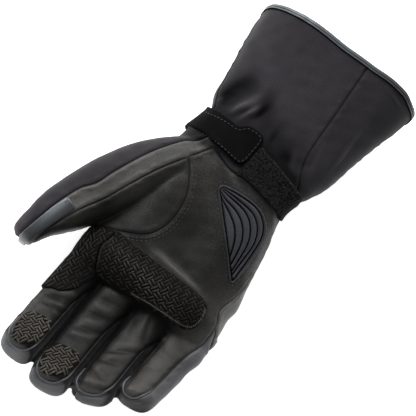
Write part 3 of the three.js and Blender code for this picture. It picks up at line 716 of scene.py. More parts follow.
def tube(line: np.ndarray, radius: np.ndarray, sides: int) -> Surface:
    """Return a round tube along a line.

    Args:
        line: The line's points.
        radius: Its radius at each point.
        sides: Sides of its section.

    Returns:
        The tube.
    """
    ahead = np.vstack([line[1:], 2 * line[-1] - line[-2]])
    behind = np.vstack([2 * line[0] - line[1], line[:-1]])
    along = unit(ahead - behind)
    side = unit(np.cross(along, [0.0, 0.0, 1.0]))
    over = np.cross(side, along)
    angle = np.linspace(0, 2 * math.pi, sides, endpoint=False)[None, :, None]
    around = np.cos(angle) * side[:, None] + np.sin(angle) * over[:, None]
    return loft(line[:, None] + radius[:, None, None] * around)


# The glove's form
@dataclass(frozen=True)
class Bump:
    """A pad, hollow or fold, or an area of painted light or shade: centre, half sizes on its own axes, turn
    in degrees and height.
    """

    x: float
    y: float
    wide: float
    long: float
    turn: float
    height: float

    def at(self, x: np.ndarray, y: np.ndarray) -> np.ndarray:
        """Return its height at places in plan."""
        turn = math.radians(self.turn)
        dx, dy = x - self.x, y - self.y
        across = (dx * math.cos(turn) + dy * math.sin(turn)) / self.wide
        along = (-dx * math.sin(turn) + dy * math.cos(turn)) / self.long
        return self.height * np.exp(-(across**2 + along**2))


def bumps(*rows: tuple[float, ...]) -> tuple[Bump, ...]:
    """Return a bump for each row of x, y, both half sizes, turn and height."""
    return tuple(Bump(*row) for row in rows)


@dataclass(frozen=True)
class Finger:
    """A finger's base, heading and size.

    The yaws are degrees from -Y towards +X and the sizes are halves. The margins are the width of the dark
    side that shows beside the leather front, on the little finger's side, and the same at the finger's base.
    """

    name: str
    x: float
    y: float
    z: float
    yaw_base: float
    yaw_tip: float
    length: float
    across: float
    deep: float
    taper: float
    curl: float
    slant: float
    margin: float = 5.0
    margin_base: float = -2.5
    left_tip: float = 1.3

    ROLL = 11.0
    SEAM_ROLL = 15.0
    SEAM_UP = 3.6
    LEFT_MARGIN = 0.9
    FRONT_END = 11.5
    FRONT_PAST = 1.2
    END_SQUARENESS = 2.45
    TIP_CAP = 11.0
    TIP_SQUARENESS = 3.3
    SQUARENESS = 2.7
    PITCH_AT = (0.0, 0.4, 0.55, 0.72, 0.85, 1.0)
    PITCH = (2.0, 8.0, 22.0, 26.0, 38.0, 41.0)
    STEP = 0.5
    SIDES = 72

    def middle_line(self, beyond: float = 16.0) -> tuple[np.ndarray, np.ndarray, np.ndarray]:
        """Return lengths from the base, places on the middle line and its directions there."""
        s = np.arange(0, self.length + beyond, self.STEP)
        share = np.minimum((s + self.STEP / 2) / self.length, 1)
        pitch = np.radians(np.interp(share, self.PITCH_AT, self.PITCH) * self.curl)
        yaw = np.radians(self.yaw_base + (self.yaw_tip - self.yaw_base) * share**1.5)
        along = np.stack([np.sin(yaw) * np.cos(pitch), -np.cos(yaw) * np.cos(pitch), np.sin(pitch)], 1)
        kernel = np.ones(25) / 25
        padded = np.pad(along, ((12, 12), (0, 0)), mode="edge")
        along = unit(np.stack([np.convolve(padded[:, k], kernel, "valid") for k in range(3)], 1))
        steps = np.vstack([[self.x, self.y, self.z], along[:-1] * self.STEP])
        return s, np.cumsum(steps, axis=0), along

    def frames(self, s: np.ndarray, extra_turn: np.ndarray | float = 0.0) -> tuple[np.ndarray, ...]:
        """Return places on the middle line with directions along, to the side and up.

        Args:
            s: Lengths from the base.
            extra_turn: Degrees to turn the section beyond the finger's own roll.

        Returns:
            Places, directions along, to the little finger's side, and up.
        """
        lengths, places, alongs = self.middle_line()
        place = rows_at(s, lengths, places)
        along = unit(rows_at(s, lengths, alongs))
        side, up = upright(along)
        roll = np.radians(self.ROLL * ease(s / self.length, 0.1, 0.5) + extra_turn)[:, None]
        turned_side = side * np.cos(roll) + np.cross(along, side) * np.sin(roll)
        turned_up = up * np.cos(roll) + np.cross(along, up) * np.sin(roll)
        return place, along, turned_side, turned_up

    def half_sizes(self, s: np.ndarray) -> tuple[np.ndarray, np.ndarray]:
        """Return half the width and half the height at lengths from the base."""
        rounding = rounded_end(s, self.length, self.TIP_CAP, self.TIP_SQUARENESS)
        scale = (1 + (self.taper - 1) * s / self.length) * rounding
        return self.across * scale, self.deep * scale

    def surface_points(self, s: np.ndarray, angle: np.ndarray) -> np.ndarray:
        """Return points of the finger's surface at lengths and angles, which go from its side up."""
        place, along, side, up = self.frames(s)
        across, deep = self.half_sizes(s)
        reach = across * squared(np.cos(angle), self.SQUARENESS)
        rise = deep * squared(np.sin(angle), self.SQUARENESS)
        points = place + side * reach[:, None] + up * rise[:, None]
        points -= along * (self.slant_at(s) * reach)[:, None]
        points[:, 2] = np.maximum(points[:, 2], 0.0)
        return points

    def rings(self) -> np.ndarray:
        """Return rings of the finger's surface from its base to its tip."""
        angle = np.linspace(0, 2 * math.pi, self.SIDES, endpoint=False)
        lengths = rows_to_tip(self.length, self.TIP_CAP, 64)
        return np.stack([self.surface_points(np.full(self.SIDES, s), angle) for s in lengths])

    def seam_turn(self, s: np.ndarray) -> np.ndarray:
        """Return how far the seam between front and back is turned, in degrees."""
        if self.name == "little":
            return np.full(len(s), self.SEAM_ROLL)
        return self.SEAM_ROLL * ease(s / self.length, 0.2, 0.45)

    def front_edges(self, s: np.ndarray) -> tuple[np.ndarray, np.ndarray]:
        """Return how far the leather front reaches to the left and right of the middle line."""
        across = self.across * (1 + (self.taper - 1) * s / self.length)
        grown = ease(s, 10, 44)
        margins = ((-2.5, self.LEFT_MARGIN), (self.margin_base, self.margin))
        left, right = (across - base - (edge - base) * grown for base, edge in margins)
        return left - self.left_tip * ease(s / self.length, 0.68, 0.86), right

    def slant_at(self, s: np.ndarray) -> np.ndarray:
        """Return how far a place beside the middle line lags behind it, for each millimetre."""
        return self.slant * ease(s / self.length, 0.55, 0.9)

    @property
    def end_from(self) -> float:
        """Length from the base at which the leather front's rounded end begins."""
        return self.length - self.FRONT_END + self.FRONT_PAST

    def seam_distance(self, points: np.ndarray) -> np.ndarray:
        """Return how far points are inside the finger's leather front; below 0 they are outside it."""
        lengths, places, _ = self.middle_line()
        coarse = slice(None, None, 2)
        s = lengths[coarse][np.linalg.norm(points[:, None] - places[None, coarse], axis=2).argmin(1)]
        place, along, side, _ = self.frames(s)
        s = s + np.einsum("ij,ij->i", points - place, along)
        across = np.einsum("ij,ij->i", points - place, side)
        s = s + self.slant_at(s) * across
        _, _, _, up = self.frames(s, self.seam_turn(s))
        above = np.einsum("ij,ij->i", points - place, up)
        start = self.end_from
        left, right = self.front_edges(np.minimum(s, start))
        half = (left + right) / 2
        power = self.END_SQUARENESS
        beside = np.abs(across - (right - left) / 2) / half
        ahead = np.maximum(s - start, 0) / self.FRONT_END
        inside = (1 - (beside**power + ahead**power) ** (1 / power)) * half
        return np.minimum(above - self.rim(beside), inside)

    def rim(self, beside: np.ndarray) -> np.ndarray:
        """Return how far the front's edge is above the middle line, lower round the tip."""
        return self.SEAM_UP - 0.9 * np.maximum(1 - (beside / 0.6) ** 2, 0)

    def front_outline(self, left_from: float, right_from: float) -> np.ndarray:
        """Return the edge of the leather front, from its left side round the tip to its right side.

        Args:
            left_from: Share of the length where it starts.
            right_from: Share of the length where it ends.

        Returns:
            Points near the finger's surface.
        """
        start = self.end_from
        left_s = np.arange(left_from * self.length, start, 1.0)
        right_s = np.arange(start, right_from * self.length, -1.0)
        turn = np.linspace(0, math.pi, 40)
        left, right = self.front_edges(np.array([start]))
        arc = (right - left) / 2 - (left + right) / 2 * squared(np.cos(turn), self.END_SQUARENESS)
        across = np.concatenate([-self.front_edges(left_s)[0], arc, self.front_edges(right_s)[1]])
        ahead = (self.FRONT_END - 0.4) * squared(np.sin(turn), self.END_SQUARENESS)
        s = np.concatenate([left_s, start + ahead, right_s])
        half_across, half_deep = self.half_sizes(s)
        share = np.clip(np.abs(across) / np.maximum(half_across, 0.1), 0, 0.995)
        rise = half_deep * (1 - share ** self.SQUARENESS) ** (1 / self.SQUARENESS)
        place, along, side, up = self.frames(s)
        beside = np.concatenate([np.ones(len(left_s)), np.abs(np.cos(turn)), np.ones(len(right_s))])
        points = place + side * across[:, None] + up * np.maximum(rise, self.rim(beside))[:, None]
        return points - along * (self.slant_at(s) * across)[:, None]


@dataclass
class GloveForm:
    """The smooth outer form of the whole glove.

    Attributes:
        voxel: Size of the cells that its parts are fused with.
        sides: Sides of a section across the hand.
        thumb_sides: Sides of a section across the thumb.
        smoothing: Rounds of smoothing after the parts are fused.
        squareness: Exponent of the sections across the hand.
        flat_below: How far they would reach below the floor that flattens them.
        floor_softness: How softly they turn into that floor.
        beyond_opening: How far the form runs on past the cuff's edge before it is trimmed.
        sections: Sections from the cuff's edge to the knuckles: y, left, right, floor and top.
        bumps: Pads and dents of the palm side.
        fingers: The four fingers.
        thumb: The thumb's middle line and its half sizes across and high.
        thumb_cap: Length of its rounded end.
        thumb_squareness: Exponent of that end.
        gap_reach: Where the lines between the fingers have their points, along Y.
        gap_veer: How far each of those points veers from midway.
    """

    voxel: float = 1.17
    sides: int = 220
    thumb_sides: int = 96
    smoothing: int = 5
    squareness: float = 2.5
    flat_below: float = 5.0
    floor_softness: float = 1.2
    beyond_opening: float = 7.0
    sections: tuple[tuple[float, ...], ...] = (
        (143.6, -62.8, 68.9, 2.2, 80.3), (130, -61.6, 67.5, 1.2, 77), (112, -58.8, 63.0, 0.2, 71),
        (95, -55.5, 60.0, 0, 66), (80, -53.0, 58.0, 0, 62), (68, -51.0, 56.0, 1.5, 59),
        (57, -45.5, 52.0, 4.5, 55.5), (46, -46.5, 47.0, 5, 53.5), (34, -49.0, 44.5, 4, 53),
        (22, -50.5, 46.5, 0, 53), (8, -52.0, 51.5, 0, 51), (-8, -53.0, 55.5, 0, 49.5),
        (-25, -53.5, 60.0, 0, 48), (-40, -53.5, 63.5, 0, 47.5), (-54, -53.5, 64.0, 0, 48),
        (-70, -53.5, 66.0, 0, 46.5), (-80, -53.0, 67.5, 0.5, 42), (-87, -51.5, 68.0, 2.5, 35),
        (-91, -46.0, 65.0, 9, 27),
    )
    bumps: tuple[Bump, ...] = bumps(
        (-33, -14, 15, 28, 10, 4.5), (31, -3, 17, 22, 30, 4.5), (4, -28, 16, 19, 0, -3.2),
        (6, -68, 52, 10, 3, 4.0), (-41, 70, 6, 8, 0, -7.0), (-35, 81, 8, 9, -20, -8.0),
        (-15, 76, 6, 11, 10, -6.0), (-6, 71, 5, 8, 10, -2.5), (18, 61, 9, 7, -20, -3.5),
        (32, 66, 5, 10, -30, -1.5),
    )
    fingers: tuple[Finger, ...] = (
        Finger("index", -37.4, -70, 18, 0, 0.8, 108.0, 14.7, 13.4, 0.95, 1.0, -0.12, 2.2),
        Finger("middle", -7.6, -70, 18, 0.5, 2.2, 111.0, 15.1, 13.4, 0.98, 0.97, 0.06, 2.4),
        Finger("ring", 22.3, -70, 18, 1, 1.5, 95.8, 14.8, 13.0, 0.98, 0.92, 0.36, 3.6, left_tip=-0.3),
        Finger("little", 52.2, -68, 18, 0.5, -8, 81.0, 16.2, 12.6, 0.82, 1.0, 0.25, 8.2, 8.2, 0.0),
    )
    thumb: tuple[tuple[float, ...], ...] = (
        (-33, 20, 28, 16, 22),
        (-48.9, -5, 29, 20.9, 23.5),
        (-61.6, -30, 31, 21.6, 22.5),
        (-71.8, -55, 33, 19.8, 20),
        (-79.8, -75, 35, 16.3, 17.5),
        (-84.2, -90, 36, 12.0, 15.5),
        (-87.4, -107.0, 37, 9.0, 13),
    )
    thumb_cap: float = 8.0
    thumb_squareness: float = 2.6
    gap_reach: tuple[float, ...] = (-88, -91, -115, -150, -190)
    gap_veer: tuple[tuple[float, ...], ...] = ((0, 0, 0, 0, 0), (0, 0, 0, 1, 14), (0, 0, 0, 3.5, 32))

    def edge_shift(self, x: np.ndarray, z: np.ndarray, y: np.ndarray) -> np.ndarray:
        """Return how far a section's point moves along Y, at the cuff's edge and at the knuckles."""
        edge, top = self.sections[0][0], self.sections[0][-1]
        dip = 0.9 * bell(x - 25, 9) * ease(z, 40, 70)
        slope = 0.085 * x - 0.08 * (top - z) - dip
        knuckles = KNUCKLE_SLOPE * (x - KNUCKLE_X) * ease(-y, 50, 85)
        lobes = 2.2 * (1 - bell(x - 2, 22)) * ease(z, 10, 50) * (1 - ease(x, 52, 64))
        return ease(y, 70, edge) * (slope + lobes) + knuckles

    def past_edge(self, points: np.ndarray) -> np.ndarray:
        """Return how far points are past the cuff's edge."""
        edge = self.sections[0][0]
        shift = self.edge_shift(points[:, 0], points[:, 2], np.full(len(points), edge))
        return points[:, 1] - (edge + shift)

    def body_rings(self, rows: np.ndarray, sides: int) -> np.ndarray:
        """Return sections across the hand and cuff.

        Args:
            rows: Places counted in sections from the cuff's edge; below 0 they lie past it.
            sides: Points in each.

        Returns:
            Rings of points.
        """
        found = catmull_rom(np.array(self.sections), np.maximum(rows, 0))
        y, left, right, floor, top = (found[:, k, None] for k in range(5))
        y = y + np.maximum(-rows, 0)[:, None]
        floor = np.maximum(floor, 0)
        angle = np.linspace(0, 2 * math.pi, sides, endpoint=False)[None]
        up = squared(np.sin(angle), self.squareness)
        x = (left + right) / 2 + (right - left) / 2 * squared(np.cos(angle), self.squareness)
        bottom = floor - self.flat_below
        z = (top + bottom) / 2 + (top - bottom) / 2 * up
        z = floor + self.floor_softness * np.logaddexp(0, (z - floor) / self.floor_softness)
        lift = sum(bump.at(x, y) for bump in self.bumps)
        return np.stack([x, y + self.edge_shift(x, z, y), z + lift * ease(up, 0.1, 0.6)], axis=2)

    def thumb_rings(self) -> np.ndarray:
        """Return rings of the thumb's surface from inside the hand to its tip."""
        table = np.array(self.thumb, float)
        fine = catmull_rom(table, np.linspace(0, len(table) - 1, 400))
        run = lengths_along(fine[:, :3])
        cap = self.thumb_cap
        s = rows_to_tip(run[-1], cap, 84)
        row = rows_at(s, run, fine)
        side, up = upright(unit(np.gradient(row[:, :3], axis=0)))
        rounding = rounded_end(s, run[-1], cap, self.thumb_squareness)
        angle = np.linspace(0, 2 * math.pi, self.thumb_sides, endpoint=False)
        reach = (row[:, 3] * rounding)[:, None] * squared(np.cos(angle), Finger.SQUARENESS)[None]
        rise = (row[:, 4] * rounding)[:, None] * squared(np.sin(angle), Finger.SQUARENESS)[None]
        rings = row[:, None, :3] + side[:, None] * reach[..., None] + up[:, None] * rise[..., None]
        rings[..., 2] = np.maximum(rings[..., 2], 0)
        return rings

    def build(self) -> Surface:
        """Return the fused and smoothed form, which runs on past the cuff's edge."""
        rows = np.concatenate([[-self.beyond_opening], np.linspace(0, len(self.sections) - 1, 240)])
        lofts = [loft(self.body_rings(rows, self.sides)), loft(self.thumb_rings())]
        lofts += [loft(finger.rings()) for finger in self.fingers]
        fused = self._fuse(joined(lofts))
        fused.smooth(self.smoothing)
        return fused

    def _fuse(self, parts: Surface) -> Surface:
        """Return overlapping closed parts as one surface of even triangles."""
        holder = mesh_object("form_parts", parts)
        modifier = holder.modifiers.new("fuse", "REMESH")
        modifier.mode = "VOXEL"
        modifier.voxel_size = self.voxel * MM
        mesh = holder.evaluated_get(bpy.context.evaluated_depsgraph_get()).to_mesh()
        mesh.calc_loop_triangles()
        points = np.empty(len(mesh.vertices) * 3)
        mesh.vertices.foreach_get("co", points)
        faces = np.empty(len(mesh.loop_triangles) * 3, np.int32)
        mesh.loop_triangles.foreach_get("vertices", faces)
        bpy.data.objects.remove(holder)
        return Surface(points.reshape(-1, 3) / MM, faces.reshape(-1, 3).astype(np.int64))

    def gap_line(self, one: int) -> np.ndarray:
        """Return the line midway between a finger and the next one, in plan."""
        first, second = self.fingers[one], self.fingers[one + 1]

        def x_at(finger: Finger, y: float) -> float:
            """Return where a finger's middle line is at a place along Y."""
            _, places, _ = finger.middle_line(80)
            return float(np.interp(-y, -places[:, 1], places[:, 0]))

        share = first.across / (first.across + second.across)
        points = []
        for i, y in enumerate(self.gap_reach):
            x = x_at(first, y) * (1 - share) + x_at(second, y) * share + self.gap_veer[one][i]
            points.append((x, y if i > 1 else y + KNUCKLE_SLOPE * (x - KNUCKLE_X)))
        return np.array(points)


def linked(name: str, data: bpy.types.ID) -> bpy.types.Object:
    """Return a new object that is in the scene."""
    made = bpy.data.objects.new(name, data)
    bpy.context.scene.collection.objects.link(made)
    return made


def store(mesh: bpy.types.Mesh, name: str, values: np.ndarray) -> None:
    """Store a number or a vector for each point of a mesh."""
    kind, key = ("FLOAT_VECTOR", "vector") if values.ndim == 2 else ("FLOAT", "value")
    mesh.attributes.new(name, kind, "POINT").data.foreach_set(key, values.astype(np.float32).ravel())


def mesh_object(name: str, surface: Surface, finishes: Sequence[Finish] = (),
                slots: np.ndarray | None = None, fold: np.ndarray | None = None,
                uv: np.ndarray | None = None) -> bpy.types.Object:
    """Make an object from a surface.

    Args:
        name: The object's name.
        surface: Its mesh in millimetres.
        finishes: Its finishes, one for each material slot.
        slots: The slot of each triangle.
        fold: How much lighter each point is, above 0, or darker, below 0; mostly painted highlights and
            painted shade.
        uv: A place in the pattern for each point, in metres.

    Returns:
        The object, with smooth shading.
    """
    mesh = bpy.data.meshes.new(name)
    mesh.vertices.add(len(surface.points))
    mesh.vertices.foreach_set("co", (surface.points * MM).astype(np.float32).ravel())
    mesh.loops.add(surface.faces.size)
    mesh.loops.foreach_set("vertex_index", surface.faces.astype(np.int32).ravel())
    mesh.polygons.add(len(surface.faces))
    mesh.polygons.foreach_set("loop_start", np.arange(0, surface.faces.size, 3, dtype=np.int32))
    mesh.polygons.foreach_set("use_smooth", np.ones(len(surface.faces), bool))
    for finish in finishes:
        mesh.materials.append(MaterialShop.get(finish))
    if slots is not None:
        mesh.polygons.foreach_set("material_index", slots.astype(np.int32))
    if fold is not None:
        store(mesh, "fold", fold)
    if uv is not None:
        layer = mesh.uv_layers.new(name="UVMap")
        layer.data.foreach_set("uv", uv[surface.faces.ravel()].astype(np.float32).ravel())
    mesh.update(calc_edges=True)
    mesh.validate()
    return linked(name, mesh)


def finished(piece: bpy.types.Object, finish: Finish, *nodes: str) -> bpy.types.Object:
    """Place a piece on the glove and report it.

    Args:
        piece: The piece.
        finish: Not used.
        nodes: The solids that it stands for.

    Returns:
        The piece.
    """
    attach(piece, BODY_NAME)
    if nodes:
        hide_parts(*nodes)
    LOG.info("%s: %d faces", piece.name, len(piece.data.polygons))
    return piece


# Seams and panels
@dataclass(frozen=True)
class PlanSeam:
    """A seam that is a line in plan and cuts between two heights."""

    name: str
    low: float
    high: float
    line: Plan

    def measure(self, form: GloveForm, points: np.ndarray) -> tuple[np.ndarray, np.ndarray]:
        """Return the signed distance of points to the seam, and which of them it can cut."""
        line = smooth_line(self.line, 1.5) if len(self.line) > 2 else np.array(self.line, float)
        distance, inside = line_distance(points, carried_on(line, PAST))
        return distance, inside & (points[:, 2] > self.low - PAST) & (points[:, 2] < self.high + PAST)


@dataclass(frozen=True)
class LevelSeam:
    """A seam that lies level, inside an outline in plan."""

    name: str
    z: float
    outline: Plan

    def measure(self, form: GloveForm, points: np.ndarray) -> tuple[np.ndarray, np.ndarray]:
        """Return the signed distance of points to the seam, and which of them it can cut."""
        outline = np.array(self.outline, float)
        near = np.abs(line_distance(points, np.vstack([outline, outline[:1]]))[0]) < PAST
        return points[:, 2] - self.z, in_polygon(points, outline) | near


@dataclass(frozen=True)
class FingerSeam:
    """The seam between a finger's front and back."""

    name: str
    number: int

    def measure(self, form: GloveForm, points: np.ndarray) -> tuple[np.ndarray, np.ndarray]:
        """Return the signed distance of points to the seam, and which of them it can cut."""
        finger = form.fingers[self.number]
        edges = [np.array([(-75.0, y) for y in form.gap_reach]), *(form.gap_line(i) for i in range(3)),
                 np.array([(90.0, y) for y in form.gap_reach])]
        left, right = edges[self.number], edges[self.number + 1]
        x, y = points[:, 0], points[:, 1]
        active = x > np.interp(-y, -left[:, 1], left[:, 0]) - PAST / 2
        active &= x < np.interp(-y, -right[:, 1], right[:, 0]) + PAST / 2
        active &= y < knuckle_y(x) + 3
        distance = np.full(len(points), 9.0)
        distance[active] = finger.seam_distance(points[active])
        return distance, active


def box_outline(left: float, right: float, front: float, rear: float) -> Plan:
    """Return a rectangle in plan."""
    return ((left, front), (right, front), (right, rear), (left, rear))


THUMB_BACK_LINE = ((-32.5, 40.5), (-36.5, 30), (-45, 22), (-57, 0), (-67, -28), (-71, -43), (-77.5, -53),
                   (-83, -73), (-86, -92), (-89.5, -114))
THUMB_STRIP_LINE = ((-24.5, 35.4), (-29.5, 25), (-44, -4), (-54, -31), (-59, -46), (-68, -66), (-75, -88),
                    (-78, -114))
THENAR_LINE = ((-37.5, 17.5), (-26.5, 7), (-16.5, -9), (-13.7, -29), (-19.5, -45), (-32, -54), (-45, -60),
               (-60, -68))
GUSSET_LINE = ((19, 165), (20, 145), (24.5, 108), (27, 85), (29.5, 69), (35, 58), (41, 47), (42.6, 41.8))
SIDE_LINE = ((41, 42.1), (44, 26), (53, 0), (56.2, -18), (57, -35), (54.3, -52), (59, -60), (61.4, -75),
             (59.6, -86))
WRIST_LINE = ((-75, WRIST_Y), (-39, WRIST_Y), (-31, 36), (-18, 30.5), (-6, 27.5), (2, 29), (14, 36),
              (30, WRIST_Y), (80, WRIST_Y))

# Edges of what is laid on the shell, beside which painted shade darkens the shell
STRAP_TOP = ((46, 50), (30, 52), (15, 54), (0, 57), (-8, 62), (-19, 58), (-29, 55.5), (-42, 54), (-60, 51))
KNUCKLE_FOOT = ((49, -73), (43, -78.5), (29, -81), (14, -83), (-10, -87.5), (-27.6, -90.2))


@dataclass(frozen=True)
class Panel:
    """A panel of the shell: the solid that it stands for, its finish and a point that it lies near."""

    name: str
    finish: Finish
    near: tuple[float, float, float]


@dataclass
class Shell:
    """The sewn shell: the form cut along its seams into panels with thick walls.

    Attributes:
        wall: Thickness of a panel, with its membrane and lining.
        groove: Depth of the groove that a seam lies in.
        groove_wide: Half its width.
        lip: How far the turned edges beside a seam stand up.
        lip_at: How far from the seam they do.
        lip_wide: Half their width.
        edge_highlight: How much lighter the painted highlight makes the very edge of an upper panel.
        edge_at: How far from the seam that edge lies.
        edge_wide: Half its width.
        stitch_wide: Half the width of the dark line in a seam.
        fine_within: Distance from a seam within which the triangles are split.
        evening: Rounds in which the seams and the triangles beside them are evened out.
        even_within: Distance from a seam within which they are.
        stray: How far a point may lie from the middle of its neighbours.
        seams: Where the form is cut.
        panels: The panels between the seams.
        painted_light_areas: Broad areas of painted highlight, or with a height below 0 of painted shade.
        base: The cut form before anything is pressed into it.
        surface: The form with its grooves and folds.
        labels: The number of the panel of each of its triangles.
        fold: How much lighter, or below 0 darker, each of its points is, from painted light and shade and
            the dark seam lines.
    """

    form: GloveForm
    wall: float = 2.4
    groove: float = 1.0
    groove_wide: float = 0.62
    lip: float = 0.4
    lip_at: float = 2.6
    lip_wide: float = 1.5
    edge_highlight: float = 0.75
    edge_at: float = 1.25
    edge_wide: float = 0.55
    stitch_wide: float = 0.5
    fine_within: float = 2.2
    evening: int = 6
    even_within: float = 4.0
    stray: float = 0.75
    seams: tuple[PlanSeam | LevelSeam | FingerSeam, ...] = (
        PlanSeam("finger_bases", LOW, FINGER_SEAM_Z, ((-57, knuckle_y(-57)), (59.5, knuckle_y(59.5)))),
        PlanSeam("little_base", LOW, SIDE_SEAM_Z, ((59.5, knuckle_y(59.5)), (85, knuckle_y(85)))),
        PlanSeam("side_end", SIDE_SEAM_Z, HIGH,
                 ((58.0, -61.5), (62, -65.0), (65, -70.5), (67.5, -76), (72, -81.5))),
        PlanSeam("wrist_back", LOW, 40, ((-75, WRIST_Y), (80, WRIST_Y))),
        PlanSeam("wrist_palm", THUMB_SEAM_Z, HIGH, WRIST_LINE),
        PlanSeam("gusset", CUFF_SEAM_RIGHT_Z, HIGH, GUSSET_LINE),
        PlanSeam("thumb_back", THUMB_SEAM_Z, HIGH, THUMB_BACK_LINE),
        PlanSeam("thumb_strip", THUMB_SEAM_Z, HIGH, THUMB_STRIP_LINE),
        PlanSeam("thenar", THUMB_SEAM_Z, HIGH, THENAR_LINE),
        PlanSeam("side", SIDE_SEAM_Z, HIGH, SIDE_LINE),
        PlanSeam("thumb_to_back", LOW, THUMB_SEAM_Z,
                 ((-42.5, 42.1), (-45, 20), (-49, -15), (-50.4, -40), (-50.6, -58), (-51.5, -65),
                  (-53.8, -69), (-56, -71.5))),
        LevelSeam("cuff_left", CUFF_SEAM_LEFT_Z, box_outline(-85, -20, WRIST_Y, 170)),
        LevelSeam("cuff_right", CUFF_SEAM_RIGHT_Z, box_outline(20, 85, WRIST_Y, 170)),
        LevelSeam("hand_right", SIDE_SEAM_Z, box_outline(30, 85, -90, WRIST_Y)),
        LevelSeam("index_side", THUMB_SEAM_Z, box_outline(-60, -35, -90.5, -58)),
        LevelSeam("thumb_underside", THUMB_SEAM_Z,
                  (*[p for p in THUMB_BACK_LINE if p[1] < -20], (-95, -120), (-56, -120), (-56, -69),
                   (-46, -66), (-46, -40), (-64, -20))),
        *(FingerSeam(name + "_seam", i) for i, name in enumerate(("index", "middle", "ring", "little"))),
    )
    panels: tuple[Panel, ...] = (
        Panel("cuff_front_panel", SOFTSHELL, (-10, 110, 72)),
        Panel("cuff_gusset", SOFTSHELL, (58, 110, 45)),
        Panel("cuff_back_panel", SOFTSHELL, (0, 110, 0)),
        Panel("palm_and_fingers", LEATHER, (15, -30, 44)),
        Panel("thenar_panel", LEATHER, (-35, -20, 52)),
        Panel("thumb_side_strip", SIDE_LEATHER, (-58, -25, 50)),
        Panel("thumb_back_panel", SOFTSHELL, (-83, -40, 20)),
        Panel("hand_back_panel", SOFTSHELL, (0, -30, 0)),
        Panel("hand_side_panel", SIDE_LEATHER, (64, -50, 24)),
        Panel("index_back", FINGER_CLOTH, (-38, -120, 12)),
        Panel("middle_back", FINGER_CLOTH, (-8, -120, 12)),
        Panel("ring_back", FINGER_CLOTH, (23, -120, 12)),
        Panel("little_back", FINGER_CLOTH, (52, -110, 10)),
    )
    painted_light_areas: tuple[Bump, ...] = bumps(
        (-52, -26, 7, 22, 20, 0.35), (-30, -50, 16, 8, 8, -0.5), (-21, -54, 12, 6, -4, -0.7),
        (-60, -48, 6, 11, 20, -0.7), (-69, -70, 6, 12, 20, 0.9), (3, -31, 24, 11, -10, -0.4),
        (6, -43.5, 22, 6, -3, -0.6), (12, -53.3, 19, 2.8, -2, 0.6), (-8, 7, 24, 6, -33, 0.5),
        (-21, 24, 8, 5, -15, 0.6), (3, 22, 8, 3.5, -20, 0.7), (-12, 34.5, 16, 3.2, 4, -1.2),
        (22, 52, 18, 4, 0, -1.0), (-32, 31, 7, 4, 20, -1.3), (54, -57, 12, 22, 10, 0.6),
        (60, -80, 10, 12, 0, 1.4), (60, -48, 9, 30, 0, 0.7), (-40, 66, 8, 9, 0, -1.3),
        (-27, 75, 3, 8, -20, 0.5), (-1, 69, 8, 7, 0, -0.8), (18, 62, 16, 10, 0, -0.8),
        (31, 106, 8, 26, 8, -0.35), (-5, 105, 36, 25, 0, 0.3), (46, -116, 8, 24, 3, 1.0),
        (11, -155, 7, 8, 0, 1.0), (43, -134, 8, 10, 0, 0.9), (24, -110, 6, 10, 0, 0.7),
        (43, -91, 5, 8, 10, 1.2), (22, -97, 3, 9, 0, 1.0), (-38, -30, 6, 10, 25, 0.6),
        (21, -125, 9, 26, 0, 0.5), (-8, -96, 9, 8, 0, 0.5), (-38, -124, 10, 18, 0, -1.2),
        (51, -87, 10, 9, 0, 1.6), (18, -152, 9, 10, 0, 1.0), (40, -140, 10, 12, 0, 0.8),
        (-86, -104, 9, 6, 0, 0.9),
    )
    base: Surface = field(init=False)
    surface: Surface = field(init=False)
    labels: np.ndarray = field(init=False)
    fold: np.ndarray = field(init=False)

    def shape(self) -> None:
        """Make the form, cut it along its seams and press the seams and wrinkles into it."""
        surface = self.form.build()
        LOG.info("form: %d triangles", len(surface.faces))
        self._trim_opening(surface)
        cuts = []
        for seam in self.seams:
            cuts.append(cut_along(surface, *seam.measure(self.form, surface.points)))
            LOG.info("%s: %d points", seam.name, cuts[-1].sum())
        for number in range(3):
            line = carried_on(self.form.gap_line(number), PAST)
            distance, inside = line_distance(surface.points, line)
            inside &= surface.points[:, 2] < FINGER_SEAM_Z + PAST
            cuts.append(cut_along(surface, distance, inside))
            cuts.append(cut_along(surface, *line_distance(surface.points, line[2:])))
        self.labels = self._label(surface, cuts)
        self._even_out(surface)
        self.base = Surface(surface.points.copy(), surface.faces)
        edges = surface.edges()
        near = np.linalg.norm(self._offset_from_seams(surface), axis=1) < self.fine_within
        surface, parents = surface.split(edges, near[edges].all(1))
        self.labels = self.labels[parents]
        self._press(surface, self._offset_from_seams(surface))
        self.surface = surface

    def _trim_opening(self, surface: Surface) -> None:
        """Cut the form off at the cuff's edge."""
        distance = self.form.past_edge(surface.points)
        cut_along(surface, distance, distance > -3)
        trimmed, _ = surface.part(self.form.past_edge(surface.centres()) <= 0)
        surface.points, surface.faces = trimmed.points, trimmed.faces

    def _label(self, surface: Surface, cuts: list[np.ndarray]) -> np.ndarray:
        """Return each triangle's panel, found by spreading from triangle to triangle up to the seams."""
        one, other, edge = surface.meeting()
        blocked = np.zeros(len(edge), bool)
        for cut in cuts:
            blocked |= cut[edge].all(1)
        patch = spread(len(surface.faces), one[~blocked], other[~blocked])
        centres = surface.centres()
        labels = np.full(len(surface.faces), -1)
        for number, panel in enumerate(self.panels):
            nearest = int(np.linalg.norm(centres - np.array(panel.near), axis=1).argmin())
            labels[patch == patch[nearest]] = number
        while (labels < 0).any():
            before = int((labels < 0).sum())
            for a, b in ((one, other), (other, one)):
                fill = (labels[a] < 0) & (labels[b] >= 0)
                labels[a[fill]] = labels[b[fill]]
            if int((labels < 0).sum()) == before:
                break
        LOG.info("panels: %s", np.bincount(labels[labels >= 0], minlength=len(self.panels)).tolist())
        return labels

